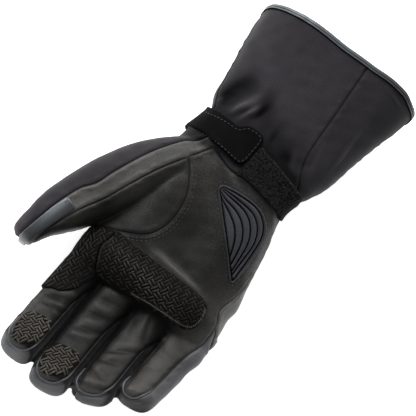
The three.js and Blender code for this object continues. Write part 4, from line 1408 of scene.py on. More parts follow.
    def _seam_points(self, surface: Surface) -> np.ndarray:
        """Return which points lie on a seam."""
        low = np.full(len(surface.points), len(self.panels))
        high = np.full(len(surface.points), -1)
        for corner in surface.faces.T:
            np.minimum.at(low, corner, self.labels)
            np.maximum.at(high, corner, self.labels)
        return low != high

    def _even_out(self, surface: Surface) -> None:
        """Straighten the seams and even out the triangles beside them."""
        on_seam, on_rim = self._seam_points(surface), surface.on_rim()
        near = distance_to(surface.points, surface.points[on_seam]) < self.even_within
        free = near & ~on_seam & ~on_rim
        edges = surface.edges()
        one, other, shared = surface.meeting()
        seam_edges = shared[self.labels[one] != self.labels[other]]
        inner = (np.bincount(seam_edges.ravel(), minlength=len(surface.points)) == 2) & ~on_rim
        for _ in range(self.evening):
            along = surface.neighbour_mean(surface.points, seam_edges) - surface.points
            surface.points += np.where(inner[:, None], 0.5 * along, 0)
            move = surface.neighbour_mean(surface.points, edges) - surface.points
            surface.points += np.where(free[:, None], 0.5 * flattened(move, surface.normals(), 0.85), 0)

    def _offset_from_seams(self, surface: Surface) -> np.ndarray:
        """Return the step to each point from the nearest point of a seam."""
        return offset_from(surface.points, surface.points[self._seam_points(surface)])

    def _press(self, surface: Surface, from_seam: np.ndarray) -> None:
        """Move the surface's points into grooves along the seams and out on folds."""
        points, normals = surface.points, surface.normals()
        seam_gap = np.linalg.norm(from_seam, axis=1)
        flat = 0.5 * bell(line_distance(points, smooth_line(THENAR_LINE, 1.5))[0], 3)
        flat *= ease(points[:, 2], 30, 40)
        groove = bell(seam_gap, self.groove_wide) * (1 - flat)
        lip = bell(seam_gap - self.lip_at, self.lip_wide) * (1 - 1.8 * flat)
        pucker = 1 + 0.5 * lumpy(points, 7.0, 3)
        height = -self.groove * groove + self.lip * lip * pucker
        folds = Wrinkles().height(points, normals, seam_gap) * (1 - groove)
        points += normals * (height + folds)[:, None]
        points[:, 2] = np.maximum(points[:, 2], 0.0)
        self._calm(surface)
        # Painted shade in the channels between the fingers, weaker on the leather, and in the hollows.
        on_leather = np.isin(np.arange(len(points)), surface.faces[self.labels == self._number(LEATHER)])
        shaded = self._between_fingers(points) * np.where(on_leather, 0.35, 1.0)
        shaded += self._hollows(points)
        # Painted highlight on the turned edge on the +X side of each seam, where it faces up.
        turned = self.edge_highlight * bell(seam_gap - self.edge_at, self.edge_wide)
        turned *= ease(from_seam[:, 0], 0.2, 0.9)
        turned *= ease(normals[:, 2], 0.2, 0.6) * (1 - ease(points[:, 1], 40, 46)) * (1 - 2 * flat)
        stitched = bell(seam_gap, self.stitch_wide) * (1 - flat)
        # Painted highlights on lips, edges and fold tops, painted shade in fold hollows, the dark seam line,
        # and areas of painted light and shade.
        painted_light = turned + 0.1 * lip - stitched + folds * 0.8 + self._painted_light_and_shade(points, normals, seam_gap)
        self.fold = np.clip(painted_light - shaded, -1.8, 2.6)

    def _number(self, finish: Finish) -> int:
        """Return the number of the first panel with a finish."""
        return next(number for number, panel in enumerate(self.panels) if panel.finish is finish)

    def _painted_light_and_shade(self, points: np.ndarray, normals: np.ndarray, seam_gap: np.ndarray) -> np.ndarray:
        """Return how much painted light lightens each point, or below 0 how much painted shade darkens it.
        """
        x, y = points[:, 0], points[:, 1]
        # Painted highlights on the finger fronts, strongest away from the seams, and on the fingertip ends;
        # painted shade on the gusset, which faces away from the key lamp, and on the little finger's tip.
        fronts = ease(-y, 84, 100) * ease(normals[:, 2], 0.4, 0.75) * (0.1 + 0.75 * ease(seam_gap, 0.8, 4.5))
        tips = (2.0 - 0.8 * ease(x, 0, 30) - 2.2 * ease(x, 30, 48)) * ease(-y, 130, 142)
        tips *= ease(-normals[:, 1], 0.1, 0.6)
        gusset = 0.45 * ease(x, 38, 52) * ease(y, 50, 70)
        areas = sum(area.at(x, y) for area in self.painted_light_areas)
        return fronts + tips - gusset + areas * ease(normals[:, 2], -0.1, 0.3)

    def _calm(self, surface: Surface) -> None:
        """Pull points that stand out from their neighbours back between them."""
        edges, inner = surface.edges(), ~surface.on_rim()
        for _ in range(3):
            move = surface.neighbour_mean(surface.points, edges) - surface.points
            far = (np.linalg.norm(move, axis=1) > self.stray) & inner
            surface.points[far] += move[far]

    def _hollows(self, points: np.ndarray) -> np.ndarray:
        """Return how much painted shade falls in the hollows of the cuff, beside the strap and below the
        knuckle patch, 0 to 1.
        """
        x, y, z = points.T
        lift = sum(bump.at(x, y) for bump in self.form.bumps)
        in_cuff = ease(y, 50, 60) * ease(z, 30, 45)
        above = -line_distance(points, np.array(STRAP_TOP))[0]
        beside = 0.7 * bell(np.maximum(above, 0), 6) * ease(z, 25, 40) * ease(y, 24, 32)
        below = -line_distance(points, np.array(KNUCKLE_FOOT))[0]
        foot = bell(np.maximum(below, 0), 4.0) * ease(-y, 74, 78)
        foot *= ease(z, 18, 26) * ease(x, -36, -28) * (1 - ease(x, 30, 44))
        return 0.9 * ease(-lift, 1, 6) * in_cuff + beside + 0.9 * foot

    def _between_fingers(self, points: np.ndarray) -> np.ndarray:
        """Return how much painted shade falls in the channels between the fingers, 0 outside them."""
        gaps = [np.abs(line_distance(points, self.form.gap_line(i)[1:])[0] + 2.2) for i in range(3)]
        return 1.5 * bell(np.min(gaps, axis=0), 5.4) * ease(points[:, 2], 8, 20) * in_fingers(points)

    def build(self) -> None:
        """Make an object of each panel, with leather or cloth outside and lining inside."""
        normals = self.surface.normals()
        edges = self.surface.edges()
        for _ in range(4):
            normals = unit(normals + self.surface.neighbour_mean(normals, edges))
        for number, panel in enumerate(self.panels):
            part, kept = self.surface.part(self.labels == number)
            count = len(part.faces)
            wall = part.thickened(self.wall, normals[kept])
            slots = np.zeros(len(wall.faces))
            slots[count:2 * count] = 1
            fold = np.concatenate([self.fold[kept], np.zeros(len(kept))])
            piece = mesh_object(panel.name + "_sewn", wall, (panel.finish, LINING), slots, fold)
            finished(piece, panel.finish, panel.name)


def cut_along(surface: Surface, distance: np.ndarray, active: np.ndarray) -> np.ndarray:
    """Move points onto a line where a distance is 0, so that triangles don't cross it.

    Args:
        surface: The surface, whose points are moved.
        distance: A signed distance for each point.
        active: Which points take part.

    Returns:
        Which points lie on the line.
    """
    edges = surface.edges()
    a, b = edges[:, 0], edges[:, 1]
    crossing = active[a] & active[b] & (distance[a] * distance[b] < 0)
    a, b = a[crossing], b[crossing]
    share = distance[a] / (distance[a] - distance[b])
    meet = surface.points[a] + share[:, None] * (surface.points[b] - surface.points[a])
    mover = np.where(share < 0.5, a, b)
    count = np.bincount(mover, minlength=len(surface.points))
    moved = count > 0
    surface.points[moved] = summed(mover, meet, len(surface.points))[moved] / count[moved, None]
    return moved | (active & (np.abs(distance) < 1e-4))


def spread(count: int, one: np.ndarray, other: np.ndarray) -> np.ndarray:
    """Return the number of the patch that each item is in, where pairs of items are joined."""
    patch = np.arange(count)
    while True:
        low = np.minimum(patch[one], patch[other])
        before = patch.copy()
        np.minimum.at(patch, one, low)
        np.minimum.at(patch, other, low)
        patch = patch[patch]
        if (patch == before).all():
            return patch


@dataclass
class Wrinkles:
    """Folds and wrinkles of the leather and the softshell, seen from the palm side.

    Attributes:
        folds: The folds.
        pillow: How far the fingers' seams pull in the cloth beside them.
        pillow_wide: Half the width over which they do.
        right_of: Place across the hand beyond which folds are on the little finger's side.
    """

    folds: tuple[Bump, ...] = bumps(
        (-34.6, -113.5, 6, 2.4, 20, 0.7), (-41, -121, 8, 1.7, 20, -0.9), (-36, -124.5, 8, 2.0, 14, 0.8),
        (-36, -128, 8, 1.5, 8, -0.6), (-38, -131, 9, 2.2, 12, 0.6), (-9, -91.5, 9, 3.2, 10, 0.8),
        (-9.5, -99, 9, 2.0, 14, -0.8), (-9.5, -105.5, 9, 3.0, 12, 0.8), (-8.5, -111.5, 9, 1.8, 20, -0.8),
        (-8, -117.5, 9, 2.8, 18, 0.8), (-6.6, -123.5, 9, 1.8, 24, -0.8), (-7, -129, 8, 2.8, 20, 0.8),
        (-11, -134, 8, 1.8, 10, -0.7), (19.5, -93, 8, 1.9, -74, 1.2), (25, -98, 8, 2.2, -68, -1.2),
        (15, -100, 7, 2.4, -70, -0.8), (21.5, -112.5, 8, 3.2, 32, 0.8), (21, -119.5, 9, 1.8, 38, -0.8),
        (19, -125, 8, 2.6, 30, 0.6), (20, -130.5, 8, 1.8, 28, -0.7), (15, -138, 9, 3.0, 24, 0.7),
        (21, -144, 7, 1.7, -10, -0.6), (19, -150.5, 8, 2.6, -16, 0.7), (47, -83, 7, 2.4, -40, 0.7),
        (50, -88, 7, 1.8, -42, -0.7), (42.5, -93.5, 7, 3.4, -30, 0.8), (43.5, -100.5, 8, 1.8, -8, -0.5),
        (45, -107, 9, 3.4, 10, 0.5), (46, -114, 8, 1.8, 16, -0.4), (46.5, -121, 8, 3.4, 10, 0.4),
        (46, -137, 7, 4.0, 0, 0.5), (-29.5, 66.5, 7, 1.9, 66, 1.5), (-25.5, 66, 6, 1.5, 66, -1.2),
        (-21.5, 68.5, 9, 2.0, 72, 1.6), (-16.5, 71, 9, 2.4, 76, -1.2), (-44, 64, 6, 2.0, 60, 0.8),
        (2, 64, 6, 2.4, 100, -0.8), (24, 63, 8, 2.2, 120, 0.8), (36, 72, 10, 2.0, 108, 0.7),
        (50, 141, 7, 0.9, -6, 0.8), (47.5, 92, 18, 1.5, 94, 0.8), (13, -53.0, 20, 2.7, -2, 2.4),
        (41, 22.5, 10, 2.0, -52, 0.8), (2, 22.5, 9, 2.2, -18, 0.7), (66, -41, 9, 4.0, 86, 1.2),
        (66, -60, 7, 4.0, 86, 0.8), (69, -88, 6, 4.0, 86, 1.5), (66, -100, 5, 6.0, 80, -0.6),
    )
    pillow: float = 0.9
    pillow_wide: float = 4.5
    right_of: float = 60.0

    def height(self, points: np.ndarray, normals: np.ndarray, seam_gap: np.ndarray) -> np.ndarray:
        """Return how far the folds lift each point, and the seams of the fingers pull it in."""
        total = -self.pillow * in_fingers(points) * bell(seam_gap, self.pillow_wide)
        facing_up, facing_right = ease(normals[:, 2], 0.05, 0.5), ease(normals[:, 0], 0.0, 0.5)
        for fold in self.folds:
            seen = facing_right if fold.x > self.right_of else facing_up
            total += fold.at(points[:, 0], points[:, 1]) * seen
        return total + 0.12 * lumpy(points, 14.0, 5)


@dataclass
class Ground:
    """A surface that other things are laid on.

    Attributes:
        surface: The surface.
    """

    surface: Surface
    tree: BVHTree = field(init=False)
    normals: np.ndarray = field(init=False)

    def __post_init__(self) -> None:
        """Prepare the search tree and the normals."""
        self.tree = self.surface.tree()
        self.normals = self.surface.normals()

    def _smooth_normals(self, places: np.ndarray, faces: np.ndarray) -> np.ndarray:
        """Return normals that change evenly across each face."""
        corners = self.surface.faces[faces]
        a, b, c = (self.surface.points[corners[:, k]] for k in range(3))
        ab, ac, ap = b - a, c - a, places - a
        bb, bc, cc = (ab * ab).sum(1), (ab * ac).sum(1), (ac * ac).sum(1)
        pb, pc = (ap * ab).sum(1), (ap * ac).sum(1)
        size = np.maximum(bb * cc - bc**2, 1e-12)
        v, w = (cc * pb - bc * pc) / size, (bb * pc - bc * pb) / size
        weights = np.clip(np.stack([1 - v - w, v, w], 1), 0, 1)
        return unit((self.normals[corners] * weights[..., None]).sum(1))

    def nearest(self, points: np.ndarray) -> tuple[np.ndarray, np.ndarray]:
        """Return the nearest places on the surface and the normals there."""
        found = [self.tree.find_nearest(Vector(point)) for point in points]
        places = np.array([hit[0] for hit in found])
        return places, self._smooth_normals(places, np.array([hit[2] for hit in found]))

    def below(self, plan: np.ndarray) -> tuple[np.ndarray, np.ndarray]:
        """Return the places straight below points in plan and the normals there."""
        down = Vector((0, 0, -1))
        places, faces = [], []
        for x, y in plan[:, :2]:
            place, _, face, _ = self.tree.ray_cast(Vector((x, y, 200.0)), down)
            if place is None:
                place, _, face, _ = self.tree.find_nearest(Vector((x, y, 40.0)))
            places.append(place)
            faces.append(face)
        places = np.array(places)
        return places, self._smooth_normals(places, np.array(faces))

    def lay(self, plan: np.ndarray, step: float = 0.6) -> tuple[np.ndarray, np.ndarray]:
        """Lay a line in plan on the surface.

        Args:
            plan: The line's points.
            step: Distance between the points returned, along the surface.

        Returns:
            Places along the surface and the normals there.
        """
        places, _ = self.below(resampled(np.asarray(plan, float), step))
        return self.nearest(resampled(places, step))


class Shape(Enum):
    """The small shapes that are scattered over the glove."""

    STITCH = "a stitch of thread"
    BAR = "a raised bar of rubber"
    CURL = "a loop of pile"


@dataclass(frozen=True)
class Scatter:
    """Copies of a small shape, placed by Geometry Nodes.

    Attributes:
        shape: What is copied.
        length: Its size along its row, in millimetres.
        wide: Its size across.
        high: Its size away from the surface, of which half is below it.
    """

    shape: Shape
    length: float
    wide: float
    high: float

    def build(self, name: str, finish: Finish, places: np.ndarray, alongs: np.ndarray, ups: np.ndarray,
              sizes: np.ndarray | None = None) -> bpy.types.Object:
        """Make the copies.

        Args:
            name: Name of the piece.
            finish: Their finish.
            places: Where each copy goes.
            alongs: Its direction.
            ups: The surface's normal there.
            sizes: Its scale, if they differ.

        Returns:
            The piece.
        """
        mesh = bpy.data.meshes.new(name + "_places")
        mesh.from_pydata((places * MM).tolist(), [], [])
        stored = {"along": alongs, "up": ups, "size": np.ones(len(places)) if sizes is None else sizes}
        for label, values in stored.items():
            store(mesh, label, values)
        holder = linked(name + "_places", mesh)
        modifier = holder.modifiers.new("scatter", "NODES")
        modifier.node_group = self._tree()
        values = {"Length": self.length * MM, "Width": self.wide * MM, "Height": self.high * MM,
                  "Material": MaterialShop.get(finish)}
        for item in modifier.node_group.interface.items_tree:
            if item.name in values:
                modifier[item.identifier] = values[item.name]
        made = bpy.data.meshes.new_from_object(holder.evaluated_get(bpy.context.evaluated_depsgraph_get()))
        made.name = name
        for label in stored:
            if label in made.attributes:
                made.attributes.remove(made.attributes[label])
        bpy.data.objects.remove(holder)
        return linked(name, made)

    def _tree(self) -> bpy.types.NodeTree:
        """Build the node tree that places the copies."""
        tree = bpy.data.node_groups.new("scatter_" + self.shape.name.lower(), "GeometryNodeTree")
        for name, kind in (("Geometry", "Geometry"), ("Length", "Float"), ("Width", "Float"),
                           ("Height", "Float"), ("Material", "Material")):
            tree.interface.new_socket(name, in_out="INPUT", socket_type="NodeSocket" + kind)
        tree.interface.new_socket("Geometry", in_out="OUTPUT", socket_type="NodeSocketGeometry")
        nodes = Nodes(tree)
        start = nodes.add("NodeGroupInput").outputs
        size = nodes.add("ShaderNodeCombineXYZ", X=start["Length"], Y=start["Width"], Z=start["Height"])
        shaped = nodes.add("GeometryNodeTransform", Geometry=self._shape(nodes), Scale=size.outputs[0])
        smooth = nodes.add("GeometryNodeSetShadeSmooth", Geometry=shaped.outputs[0])
        points = nodes.add("GeometryNodeMeshToPoints", Mesh=start["Geometry"])
        along, up = (self._read(nodes, name, "FLOAT_VECTOR") for name in ("along", "up"))
        turn = nodes.add("FunctionNodeAxesToRotation", {"primary_axis": "Z", "secondary_axis": "X"},
                         Primary_Axis=up, Secondary_Axis=along)
        placed = nodes.add("GeometryNodeInstanceOnPoints", Points=points.outputs[0],
                           Instance=smooth.outputs[0], Rotation=turn.outputs[0],
                           Scale=self._read(nodes, "size", "FLOAT"))
        real = nodes.add("GeometryNodeRealizeInstances", Geometry=placed.outputs[0])
        dressed = nodes.add("GeometryNodeSetMaterial", Geometry=real.outputs[0], Material=start["Material"])
        nodes.add("NodeGroupOutput", Geometry=dressed.outputs[0])
        return tree

    def _shape(self, nodes: Nodes) -> Socket:
        """Return the shape's own mesh, one unit long, wide and high."""
        if self.shape is Shape.STITCH:
            return nodes.add("GeometryNodeMeshUVSphere", Segments=8, Rings=5, Radius=0.5).outputs[0]
        if self.shape is Shape.BAR:
            made = nodes.add("GeometryNodeMeshCylinder", Vertices=10, Radius=0.5, Depth=1.0)
            turn = (0.0, math.pi / 2, 0.0)
        else:
            arc = nodes.add("GeometryNodeCurveArc", Resolution=7, Radius=0.5,
                            Sweep_Angle=math.radians(230), Start_Angle=math.radians(-25))
            ring = nodes.add("GeometryNodeCurvePrimitiveCircle", Resolution=4, Radius=0.13)
            made = nodes.add("GeometryNodeCurveToMesh", Curve=arc.outputs[0], Profile_Curve=ring.outputs[0])
            turn = (math.pi / 2, 0.0, 0.0)
        return nodes.add("GeometryNodeTransform", Geometry=made.outputs[0], Rotation=turn).outputs[0]

    @staticmethod
    def _read(nodes: Nodes, name: str, kind: str) -> Socket:
        """Return a named attribute of the points."""
        node = nodes.add("GeometryNodeInputNamedAttribute", {"data_type": kind}, Name=name)
        return next(socket for socket in node.outputs if socket.enabled)


@dataclass
class Stitching:
    """Rows of stitches that are made as one piece.

    Attributes:
        name: Name of the piece.
        finish: Finish of the thread.
        scatter: The stitch.
        pitch: Distance from one stitch to the next.
        rows: Places, directions and normals of the stitches of each row.
    """

    name: str
    finish: Finish = THREAD
    scatter: Scatter = Scatter(Shape.STITCH, 2.3, 0.6, 0.55)
    pitch: float = 3.2
    rows: list[tuple[np.ndarray, ...]] = field(default_factory=list)

    def sew(self, line: np.ndarray, normals: np.ndarray, slant: float = 0.0, sunk: float = 0.05) -> None:
        """Add a row.

        Args:
            line: Places along the row.
            normals: The surface's normals there.
            slant: Degrees that each stitch is turned from the row.
            sunk: How far the stitches' middles lie below the surface.
        """
        run = lengths_along(line)
        at = np.arange(self.pitch / 2, run[-1], self.pitch)
        if not len(at):
            return
        places, ups = rows_at(at, run, line), unit(rows_at(at, run, normals))
        along = unit(rows_at(at + 0.5, run, line) - rows_at(at - 0.5, run, line))
        turn = math.radians(slant)
        along = unit(along * math.cos(turn) + np.cross(ups, along) * math.sin(turn))
        self.rows.append((places - ups * sunk, along, ups))

    def build(self) -> bpy.types.Object:
        """Make the stitches."""
        places, alongs, ups = (np.vstack(part) for part in zip(*self.rows))
        piece = self.scatter.build(self.name, self.finish, places, alongs, ups)
        return finished(piece, self.finish)


# What is sewn onto the shell
@dataclass(frozen=True)
class Patch:
    """A piece that is laid on the form inside an outline in plan.

    Attributes:
        name: Name of the solid that it stands for.
        finish: Its finish.
        outline: Its outline.
        thick: Its thickness.
        low: Height below which it ends.
        rounding: How far from its edge it reaches its full thickness.
        gap: Gap below it.
        finer: Times that its triangles are split.
        fill: How full its padding is, up to 1, or 0 where it has none; not used.
    """

    name: str
    finish: Finish
    outline: Plan
    thick: float
    low: float = 30.0
    rounding: float = 1.6
    gap: float = 0.35
    finer: int = 1
    fill: float = 0.0

    def edge_line(self) -> np.ndarray:
        """Return the points of the outline's smooth curve."""
        return smooth_line(self.outline, 1.0, closed=True)

    def inset(self, points: np.ndarray) -> np.ndarray:
        """Return how far points are inside the outline and above the lowest height."""
        return np.minimum(inside_by(points, self.edge_line()), points[:, 2] - self.low)

    def near(self, points: np.ndarray) -> np.ndarray:
        """Return which points may lie under the patch."""
        box = np.array(self.outline, float)
        return (points[:, :2] > box.min(0) - 4).all(1) & (points[:, :2] < box.max(0) + 4).all(1)

    def cut(self, base: Surface) -> Surface:
        """Return the part of the form that the patch covers."""
        area, _ = base.part(self.near(base.points)[base.faces].all(1))
        cut_along(area, self.inset(area.points), np.ones(len(area.points), bool))
        covered = area.part(self.inset(area.centres()) > 0)[0].largest_piece()
        for _ in range(self.finer):
            covered = covered.finer()
        return covered

    def height(self, covered: Surface) -> np.ndarray:
        """Return the patch's thickness at each point, rounded down to nothing at its edge."""
        share = np.clip(covered.rim_distance() / self.rounding, 0, 1)
        return self.thick * np.sqrt(1 - (1 - share) ** 2)

    def slots(self, covered: Surface) -> tuple[tuple[Finish, ...], np.ndarray]:
        """Return the finishes, and which of them each triangle has."""
        return (self.finish,), np.zeros(len(covered.faces))

    def pattern(self, covered: Surface) -> np.ndarray:
        """Return each point's place in the finish's pattern, in metres."""
        return covered.points[:, :2] * MM

    def tone(self, covered: Surface) -> np.ndarray:
        """Return how much lighter, or below 0 darker, each point is."""
        return np.zeros(len(covered.points))

    def build(self, base: Surface) -> Surface:
        """Make the patch and return its top."""
        covered = self.cut(base)
        normals = covered.normals()
        height = self.gap + self.height(covered)
        top = Surface(covered.points + normals * height[:, None], covered.faces)
        solid = top.thickened(height - self.gap * 0.4, normals)
        finishes, slots = self.slots(covered)
        slots = np.concatenate([slots, slots, np.zeros(len(solid.faces) - 2 * len(slots))])
        tone, pattern = np.tile(self.tone(covered), 2), np.tile(self.pattern(covered), (2, 1))
        piece = mesh_object(self.name + "_sewn", solid, finishes, slots, tone, pattern)
        finished(piece, self.finish, self.name)
        return top

    def border(self, inset: float) -> np.ndarray:
        """Return the outline drawn in by some distance, in plan; below 0 it lies outside."""
        line = self.edge_line()
        ahead = unit(np.roll(line, -2, axis=0) - np.roll(line, 2, axis=0))
        across = np.stack([-ahead[:, 1], ahead[:, 0]], 1)
        sign = 1 if in_polygon(line + across, line).mean() > 0.5 else -1
        drawn = line + sign * across * inset
        return np.vstack([drawn, drawn[:1]])


@dataclass(frozen=True)
class GripPatch(Patch):
    """A patch of grip cloth with raised bars that alternate like a basket's weave.

    Attributes:
        cell: Side of a square with two parallel bars.
        turn: Degrees that the weave is turned by.
        margin: Width along the edge that is left bare.
        glint: Where a painted highlight lies on the bars.
        bar: The bar.
        reach: How far from the outline's middle the weave is laid.
    """

    cell: float = 5.2
    turn: float = -22.0
    margin: float = 1.8
    glint: Bump = Bump(0, -300, 1, 1, 0, 0.0)
    bar: Scatter = Scatter(Shape.BAR, 5.6, 1.05, 0.9)
    reach: float = 70.0

    def build(self, base: Surface) -> Surface:
        """Make the patch with its bars and return its top."""
        top = super().build(base)
        turn = math.radians(self.turn)
        first = np.array([math.cos(turn), math.sin(turn)])
        second = np.array([-first[1], first[0]])
        middle = np.array(self.outline).mean(0)
        count = int(self.reach / self.cell)
        plan, alongs = [], []
        for i in range(-count, count + 1):
            for j in range(-count, count + 1):
                along, across = (first, second) if (i + j) % 2 == 0 else (second, first)
                centre = middle + first * (i * self.cell) + second * (j * self.cell)
                for side in (-0.25, 0.25):
                    plan.append(centre + across * (side * self.cell))
                    alongs.append((*along, 0.0))
        plan, alongs = np.array(plan), np.array(alongs)
        inside = in_polygon(plan, self.edge_line())
        plan, alongs = plan[inside], alongs[inside]
        places, ups = Ground(top).below(plan)
        clear = distance_to(places, top.points[top.on_rim()]) > self.margin
        clear &= np.abs(places[:, :2] - plan).max(1) < 0.1
        places, ups = places[clear], ups[clear]
        alongs = unit(flattened(alongs[clear], ups))
        piece = self.bar.build(self.name + "_bars", GRIP_BARS, places - ups * 0.1, alongs, ups)
        spots = np.empty(len(piece.data.vertices) * 3, np.float32)
        piece.data.vertices.foreach_get("co", spots)
        x, y, _ = spots.reshape(-1, 3).T / MM
        # Painted highlight on the bars, where the glint lies.
        store(piece.data, "fold", self.glint.at(x, y))
        finished(piece, GRIP_BARS)
        return top


@dataclass(frozen=True)
class Wiper(Patch):
    """The rubber face of the thumb's end, with a painted highlight beside the thumb's back and at the very
    tip.
    """

    def tone(self, covered: Surface) -> np.ndarray:
        """Return how much lighter each point is, or below 0 how much darker."""
        points = covered.points
        beside = np.abs(line_distance(points, smooth_line(THUMB_BACK_LINE, 1.5))[0])
        # Painted highlight beside the thumb's back and at the very tip; elsewhere darker, and darker still
        # towards the wrist.
        shine = 1.85 * bell(beside - 2.6, 2.8) * ease(points[:, 1], -99, -74)
        return shine + 0.8 * ease(-points[:, 1], 99, 107) - 0.77 - 0.15 * ease(points[:, 1], -78, -68)


@dataclass(frozen=True)
class HeelInsert(Patch):
    """The leaf of ribbed cloth on the palm's heel, with grooves that fan out between its tips.

    Attributes:
        lines: The grooves in plan, from the straight side to the bowed one.
        groove: Half the width of a groove.
    """

    lines: tuple[Plan, ...] = (
        ((-1.7, 11.2), (2.8, 7.4), (9.0, 2.3), (15.4, -3.3), (21.9, -8.9), (27.8, -14.2), (33.4, -19.0),
         (40.6, -25.6), (46.3, -30.4)),
        ((-1.6, 11.0), (4.5, 7.3), (11.8, 4.5), (17.9, 1.5), (22.6, -1.5), (26.4, -5.1), (29.5, -9.4),
         (32.0, -14.2), (34.2, -19.4)),
        ((-2.2, 11.8), (5.7, 9.1), (12.8, 8.2), (19.0, 6.6), (24.6, 3.8), (29.4, -0.5), (32.8, -5.2),
         (35.2, -10.8), (36.8, -16.9), (38.2, -22.6)),
        ((-2.2, 12.8), (6.3, 12.3), (14.2, 12.1), (21.2, 11.2), (27.6, 8.4), (32.3, 4.2), (35.9, -1.1),
         (38.3, -7.4), (39.6, -14.2), (41.6, -26.1)),
        ((-2.0, 13.8), (6.5, 14.4), (14.7, 14.6), (22.6, 14.4), (29.0, 13.0), (34.4, 9.4), (38.0, 4.9),
         (40.6, -1.2), (41.5, -6.8), (42.2, -14.6), (43.6, -28.0)),
        ((-1.6, 14.8), (7.0, 16.9), (15.7, 18.2), (22.9, 18.7), (29.2, 17.9), (35.3, 14.8), (39.0, 11.2),
         (41.6, 6.6), (43.2, 0.1), (44.3, -7.5), (45.4, -16.9), (46.6, -29.8)),
    )
    groove: float = 0.58

    def groove_distance(self, points: np.ndarray) -> np.ndarray:
        """Return the distance in plan to the nearest groove, more where the grooves run together."""
        apart = np.hypot(points[:, 0] - self.lines[0][0][0], points[:, 1] - self.lines[0][0][1])
        curves = [smooth_line(line, 1.0) for line in self.lines]
        nearest = np.min([np.abs(line_distance(points, curve)[0]) for curve in curves], axis=0)
        return nearest / (0.45 + 0.55 * ease(apart, 2, 16))

    def height(self, covered: Surface) -> np.ndarray:
        """Return the thickness, with a rounded band between each two grooves."""
        band = 1 - bell(self.groove_distance(covered.points), self.groove * 1.5)
        return super().height(covered) * (0.25 + 0.75 * band)

    def slots(self, covered: Surface) -> tuple[tuple[Finish, ...], np.ndarray]:
        """Return the finishes, black in the grooves."""
        in_groove = self.groove_distance(covered.centres()) < self.groove
        return (self.finish, GROOVE), in_groove.astype(float)


@dataclass(frozen=True)
class Strap(Patch):
    """The strap that goes round the back of the wrist and over the palm side as a tab.

    Attributes:
        back: The band round the back: its left, right, front and rear.
        back_top: Height up to which that band goes.
        lean_from: Height below which the strap leans towards the cuff.
        lean: How far it leans for each millimetre down.
    """

    back: tuple[float, float, float, float] = (-70, 34, 34.6, 55)
    back_top: float = 26.0
    lean_from: float = 58.0
    lean: float = 0.176

    def straightened(self, points: np.ndarray) -> np.ndarray:
        """Return points as they would be if the strap didn't lean."""
        moved = points.copy()
        moved[:, 1] -= self.lean * (self.lean_from - points[:, 2])
        return moved

    def inset(self, points: np.ndarray) -> np.ndarray:
        """Return how far points are inside the tab, or below its foot inside the band."""
        left, right, front, rear = self.back
        x, y, z = points.T
        band = np.minimum(np.minimum(x - left, right - x), np.minimum(y - front, rear - y))
        return np.where(z > self.back_top, inside_by(self.straightened(points), self.edge_line()), band)

    def near(self, points: np.ndarray) -> np.ndarray:
        """Return which points lie round the wrist, where the strap may cover them."""
        return (points[:, 1] > 20) & (points[:, 1] < 72)

    def pattern(self, covered: Surface) -> np.ndarray:
        """Return each point's place along and across the strap."""
        moved = self.straightened(covered.points)
        return np.stack([moved[:, 0] + moved[:, 2], moved[:, 1]], 1) * MM


@dataclass
class Piping:
    """The glossy cord in the seam round a fingertip.

    Attributes:
        finger: The finger.
        thick: Its radius at the tip.
        thin: Its radius at its ends.
        left_from: Share of the finger's length where it starts on the thumb's side.
        right_from: Share of the length where it ends on the little finger's side.
        sides: Sides of the cord.
    """

    finger: Finger
    thick: float = 0.72
    thin: float = 0.38
    left_from: float = 0.8
    right_from: float = 0.42
    sides: int = 12

    def line(self, ground: Ground) -> tuple[np.ndarray, np.ndarray]:
        """Return places along the seam and the normals there."""
        line = resampled(self.finger.front_outline(self.left_from, self.right_from), 0.8)
        for _ in range(3):
            line, _ = ground.nearest(line)
            for _ in range(18):
                line[1:-1] = (line[:-2] + 2 * line[1:-1] + line[2:]) / 4
        return line, ground.nearest(line)[1]

    def build(self, ground: Ground) -> None:
        """Make the piping."""
        line, normals = self.line(ground)
        at = np.linspace(0, 1, len(line))
        swell = ease(at, 0.0, 0.12) * (1 - ease(at, 0.55, 1.0))
        radius = self.thin + (self.thick - self.thin) * swell
        radius[0] = radius[-1] = 0.25
        body = tube(line + normals * (radius * 0.45)[:, None], radius, self.sides)
        name = self.finger.name + "_piping"
        # Painted shade: the cord darkens past the tip, down the finger's right side beside the channel.
        dull = -1.3 * ease(at, 0.48, 0.66)
        tone = np.resize(np.repeat(dull, self.sides), len(body.points))
        finished(mesh_object(name + "_cord", body, (CORD,), None, tone), CORD, name)


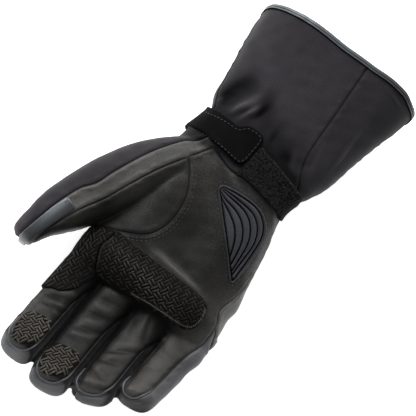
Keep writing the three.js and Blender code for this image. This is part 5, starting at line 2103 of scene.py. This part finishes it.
@dataclass
class Binding:
    """The glossy tape that is folded over the cuff's edge.

    Attributes:
        wide: Width on each side of the wall.
        thick: The tape's thickness.
        gap: Gap between the tape and the wall.
        sides: Points round the edge.
        seam_at: Where the thin dark line of its seam lies, behind the cuff's edge.
        shadow_at: Where the painted shadow, a dark line beside the cloth, begins.
    """

    wide: float = 3.3
    thick: float = 0.7
    gap: float = 0.3
    sides: int = 360
    seam_at: float = 1.5
    shadow_at: float = 2.75

    def frames(self, form: GloveForm) -> tuple[np.ndarray, np.ndarray, np.ndarray]:
        """Return places round the edge with the outward direction and the one beyond the edge."""
        edge, inner = form.body_rings(np.array([0.0, 0.25]), sides=720)
        edge, inner = (np.vstack([ring, ring[:1]]) for ring in (edge, inner))
        run = lengths_along(edge)
        at = np.linspace(0, run[-1], self.sides, endpoint=False)
        edge, inner = rows_at(at, run, edge), rows_at(at, run, inner)
        beyond = unit(edge - inner)
        around = unit(np.roll(edge, -1, axis=0) - np.roll(edge, 1, axis=0))
        outward = unit(np.cross(around, beyond))
        middle = edge.mean(0)
        if np.einsum("ij,ij->i", outward, edge - middle).mean() < 0:
            outward = -outward
        return edge, outward, beyond

    def build(self, form: GloveForm, wall: float) -> None:
        """Make the binding over a wall of some thickness."""
        edge, outward, beyond = self.frames(form)
        out, over = self.gap + self.thick, self.thick + 0.5
        inside, middle = -wall - self.gap, -wall / 2
        lining = inside - self.thick
        section = [
            (self.gap, -self.wide), (out * 0.8, -self.wide - 0.1), (out, -self.wide + 0.5),
            (out + 0.15, -1.6), (out, -0.2), (out * 0.6, over * 0.75), (middle, over),
            (inside - self.thick * 0.5, over * 0.75), (lining, -0.2), (lining, -self.wide + 0.5),
            (inside - self.thick * 0.6, -self.wide - 0.1), (inside, -self.wide), (inside, 0.0),
            (middle, over - self.thick), (self.gap, 0.0),
        ]
        section = smooth_line(section, 0.4, closed=True)[:-1]
        outer = section[:, 0] > 0.1
        # Black slots for the seam's thin dark line and, past shadow_at, a painted shadow beside the cloth.
        seam = outer & ((np.abs(section[:, 1] + self.seam_at) < 0.21) | (section[:, 1] < -self.shadow_at))
        section[outer & (np.abs(section[:, 1] + self.seam_at) < 0.3), 0] -= 0.3
        ripple = 0.12 * lumpy(edge, 9.0, 21)[:, None]
        rings = np.stack([edge + outward * (a + ripple) + beyond * (b + ripple * 0.6) for a, b in section])
        body = loft(rings, ends=False)
        slots = seam[(body.faces // self.sides).min(1)].astype(float)
        # Painted light: lighter towards -X, the key lamp's side, and painted shade towards +X.
        tone = 0.4 - 0.4 * ease(body.points[:, 0], -55, -20) - 0.45 * ease(body.points[:, 0], 10, 50)
        finished(mesh_object("cuff_binding_tape", body, (TAPE, GROOVE), slots, tone), TAPE, "cuff_binding")


def tip_grip(name: str, outline: Plan) -> GripPatch:
    """Return the grip on a fingertip."""
    return GripPatch(
        name, GRIP_CLOTH, outline, 1.1, low=30.0, rounding=1.2, margin=1.2,
        glint=Bump(-25, -155, 60, 60, 0, 6.4), cell=4.4, bar=Scatter(Shape.BAR, 4.9, 1.3, 0.9))


@dataclass
class Trims:
    """Everything that is laid on the shell: patches, strap, pipings, binding and stitches.

    Attributes:
        shell: The shell.
        knuckle: The padded grip patch over the knuckles.
        index: The grip patch on the side of the index finger.
        index_tip: The grip on the index finger's tip.
        middle_tip: The grip on the middle finger's tip.
        insert: The ribbed insert on the palm's heel.
        wiper: The rubber on the thumb's end.
        strap: The strap round the wrist.
        loop: The patch of loop pile that the strap closes on.
        curls: Places tried for the curls of that pile.
        curl: One of the curls.
    """

    shell: Shell
    knuckle: GripPatch = GripPatch(
        "knuckle_grip_patch", GRIP_CLOTH,
        ((-36.8, -57.5), (-19, -57.8), (10, -56.3), (36, -54.2), (45, -56.5), (49, -65), (48.6, -73),
         (43, -78.5), (29, -81), (14, -83), (-10, -87.5), (-27.6, -90.2), (-33.6, -81), (-38.2, -72),
         (-36.8, -64)),
        2.3, rounding=3.0, fill=0.5, margin=2.0, cell=4.8,
        bar=Scatter(Shape.BAR, 5.2, 1.25, 0.9), glint=Bump(1, -73, 29, 6.2, -7, 3.6))
    index: GripPatch = GripPatch(
        "index_grip_patch", GRIP_CLOTH,
        ((-60, -73), (-56.5, -68.5), (-53.2, -64), (-46, -61), (-38.4, -58.8), (-38, -64), (-39.6, -72.5),
         (-35, -82), (-29.2, -91.5), (-31, -99.5), (-33, -106.4), (-37.3, -112.8), (-44, -117.2),
         (-60, -119.5)),
        1.3, low=20.0, rounding=1.3, glint=Bump(-54, -90, 9, 32, 0, 3.2))
    index_tip: GripPatch = tip_grip(
        "index_tip_grip",
        ((-47.6, -143.8), (-44.8, -140.2), (-40.4, -138.3), (-35.1, -137.4), (-30.6, -138.8), (-28.4, -143),
         (-28.3, -149), (-29.3, -155.2), (-31.8, -160.2), (-36, -163.2), (-40.8, -164.2), (-45, -162.9),
         (-47.3, -158.2), (-48, -150.5)))
    middle_tip: GripPatch = tip_grip(
        "middle_tip_grip",
        ((-18.2, -146.8), (-13.7, -143.8), (-8.9, -142.7), (-3, -142), (1, -144), (2.1, -149), (1.1, -156),
         (-1.3, -161.8), (-5.4, -166), (-10.5, -168.2), (-15.3, -167.2), (-18.6, -162.4), (-19.3, -154)))
    insert: HeelInsert = HeelInsert(
        "heel_insert", RIB_CLOTH,
        ((-3.8, 12.2), (-3.2, 15.4), (1.0, 17.4), (7.9, 18.9), (15.5, 20.2), (22.9, 20.8), (30.0, 20.0),
         (37.2, 16.8), (41.8, 12.2), (44.6, 6.8), (46.0, 0.3), (47.2, -7.6), (48.2, -16.7), (48.4, -27.6),
         (47.0, -32.0), (40.3, -27.3), (33.2, -20.6), (27.4, -15.8), (21.4, -10.6), (15.0, -5.0),
         (8.4, 0.8), (2.0, 6.0)),
        1.9, rounding=1.5, finer=2, fill=0.6)
    wiper: Wiper = Wiper(
        "thumb_wiper", WIPER,
        ((-79.6, -64.2), (-75.2, -64.6), (-70.4, -66.6), (-72.6, -75), (-76.2, -88), (-79.2, -98),
         (-80.6, -106), (-83.5, -109.5), (-86.9, -107), (-86.6, -98), (-85.0, -87.2), (-82.9, -75),
         (-81.2, -68.5)),
        0.8, rounding=0.9)
    strap: Strap = Strap(
        "wrist_strap", WEBBING,
        ((-60, 49), (-42.5, 52.2), (-29.6, 53.7), (-21.7, 54.2), (-18.8, 56.8), (-15.8, 59.6),
         (-7.9, 60.8), (-3, 59.5), (-1, 55.3), (-0.8, 46), (-1.2, 38.1), (-4.9, 33.4), (-19.7, 33.6),
         (-37.5, 33.2), (-60, 29)),
        2.6, rounding=0.8, gap=0.6)
    loop: Patch = Patch(
        "strap_loop_patch", LOOP_PILE,
        ((-0.4, 53.8), (6, 53.3), (14.8, 52.7), (29.7, 50.8), (40, 49.6), (46, 49), (46, 38), (45.5, 27.5),
         (37, 27.6), (29.6, 27.8), (11.8, 28.5), (4, 28.2), (-0.4, 28), (-0.4, 40)),
        1.5, rounding=0.8, gap=0.5)
    curls: int = 1560
    curl: Scatter = Scatter(Shape.CURL, 1.4, 1.4, 1.2)

    def build(self) -> None:
        """Make all the trims."""
        base, form = self.shell.base, self.shell.form
        ground = Ground(self.shell.surface)
        thread = Stitching("seam_stitches")
        knuckle = Ground(self.knuckle.build(base))
        for patch in (self.index, self.index_tip, self.middle_tip):
            patch.build(base)
        wiper = Ground(self.wiper.build(base))
        self.insert.build(base)
        strap = Ground(self.strap.build(base))
        loop = Ground(self.loop.build(base))
        for finger in form.fingers:
            Piping(finger).build(ground)
        Binding().build(form, self.shell.wall)
        for offset in (2.4, 4.6):
            line = offset_line(smooth_line(THENAR_LINE[1:], 1.0), offset)
            thread.sew(*ground.lay(line))
        thread.sew(*ground.lay(self.insert.border(-1.9)))
        for y in (-65.8, -67.4):
            thread.sew(*wiper.lay(np.array([(-79.8, y - 0.2), (-74.6, y - 0.6)])))
        thread.build()
        hem = Stitching("strap_stitches", STRAP_THREAD)
        line = self.strap.border(2.0)
        hem.sew(*strap.lay(line[line[:, 0] > -47]))
        line = self.loop.border(1.3)
        hem.sew(*loop.lay(line[line[:, 1] > 44]))
        hem.build()
        self._edging(knuckle)
        self._pile(loop)

    def _edging(self, ground: Ground) -> None:
        """Oversew the knuckle patch's lower and right edge."""
        edging = Stitching("knuckle_edging", EDGING, Scatter(Shape.STITCH, 2.0, 0.55, 0.6), 1.45)
        line = self.knuckle.border(1.5)
        line = line[(line[:, 1] < -76) & (line[:, 0] > -2) | (line[:, 0] > 45)]
        line = line[np.argsort(-np.arctan2(line[:, 1] + 60, line[:, 0] + 10))]
        edging.sew(*ground.lay(line), slant=66.0, sunk=-0.1)
        edging.build()

    def _pile(self, ground: Ground) -> None:
        """Scatter loops of pile over the strap's loop patch."""
        draw = np.random.default_rng(12)
        outline = np.array(self.loop.outline)
        plan = draw.uniform(outline.min(0), outline.max(0), (self.curls, 2))
        plan = plan[self.loop.inset(np.column_stack([plan, np.full(len(plan), 60.0)])) > 1.0]
        places, ups = ground.below(plan)
        turn = draw.uniform(0, 2 * math.pi, len(plan))
        alongs = np.stack([np.cos(turn), np.sin(turn), np.zeros(len(plan))], 1)
        ups = unit(ups + draw.normal(0, 0.35, ups.shape))
        alongs, sizes = unit(flattened(alongs, ups)), draw.uniform(0.7, 1.2, len(plan))
        piece = self.curl.build("loop_pile_curls", LOOP_CURLS, places, alongs, ups, sizes)
        finished(piece, LOOP_CURLS)


def offset_line(line: np.ndarray, offset: float) -> np.ndarray:
    """Return a line in plan moved to its left."""
    ahead = unit(np.gradient(line, axis=0))
    return line + np.stack([-ahead[:, 1], ahead[:, 0]], 1) * offset


@dataclass
class Studio:
    """The floor, the lights and the camera.

    Attributes:
        target: Point that the photograph is centred on.
        distance: From there to the camera.
        tilt: Angle of the view from straight down, towards the fingers.
        roll: How far the picture is turned.
        width: Width of the view at the target.
        sensor: Width of the camera's sensor.
        glow: How brightly the white floor shines, like a light table.
    """

    target: tuple[float, float, float] = (0.0, 0.0, 30.0)
    distance: float = 1500.0
    tilt: float = 10.0
    roll: float = 41.0
    width: float = 299.52
    sensor: float = 36.0
    glow: float = 0.8

    def build(self) -> None:
        """Make them all."""
        self._camera()
        self._floor()
        self._lights()

    def _camera(self) -> None:
        """Make the camera at the photograph's angle."""
        data = bpy.data.cameras.new("camera")
        data.sensor_width = self.sensor
        data.lens = self.sensor * self.distance / self.width
        data.clip_start, data.clip_end = 0.1, 20.0
        camera = linked("camera", data)
        tilt = math.radians(self.tilt)
        ahead = Vector((0, math.sin(tilt), -math.cos(tilt)))
        up = Vector((0, math.cos(tilt), math.sin(tilt)))
        right = ahead.cross(up)
        turn = Matrix.Rotation(math.radians(-self.roll), 3, ahead)
        right, up = turn @ right, turn @ up
        placed = Matrix((right, up, -ahead)).transposed().to_4x4()
        placed.translation = (Vector(self.target) - ahead * self.distance) * MM
        camera.matrix_world = placed
        bpy.context.scene.camera = camera

    def _floor(self) -> None:
        """Make a wide pale floor."""
        reach = 4.0
        mesh = bpy.data.meshes.new("floor")
        corners = [(-reach, -reach, 0), (reach, -reach, 0), (reach, reach, 0), (-reach, reach, 0)]
        mesh.from_pydata(corners, [], [(0, 1, 2, 3)])
        material = bpy.data.materials.new("floor_paper")
        material.use_nodes = True
        shader = material.node_tree.nodes["Principled BSDF"]
        for name, value in (("Base Color", (0.93, 0.93, 0.93, 1)), ("Roughness", 0.9),
                            ("Emission Color", (1, 1, 1, 1)), ("Emission Strength", self.glow)):
            shader.inputs[name].default_value = value
        mesh.materials.append(material)
        linked("floor", mesh)

    def _lights(self) -> None:
        """Make a bright surround and soft lamps above."""
        world = bpy.data.worlds.new("studio")
        world.use_nodes = True
        backdrop = world.node_tree.nodes["Background"]
        backdrop.inputs["Color"].default_value = (1, 1, 1, 1)
        backdrop.inputs["Strength"].default_value = 0.3
        bpy.context.scene.world = world
        bpy.context.scene.view_settings.view_transform = "Standard"
        self._lamp("key", (-1.0, 0.5, 1.0), 0.9, 22)
        self._lamp("front", (-0.3, -1.35, 0.45), 0.8, 2)
        self._lamp("rear", (0.25, 1.4, 0.62), 0.8, 14)

    def _lamp(self, name: str, place: tuple[float, float, float], size: float, power: float) -> None:
        """Make a square lamp that shines at the glove."""
        data = bpy.data.lights.new(name, "AREA")
        data.size = size
        data.energy = power
        lamp = linked(name, data)
        lamp.location = place
        lamp.rotation_euler = (-Vector(place)).to_track_quat("-Z", "Y").to_euler()


def main() -> None:
    """Build the studio and the glove, piece by piece."""
    logging.basicConfig(level=logging.INFO, format="%(name)s: %(message)s", stream=sys.stdout)
    Studio().build()
    shell = Shell(GloveForm())
    shell.shape()
    shell.build()
    Trims(shell).build()


if __name__ == "__main__":
    main()
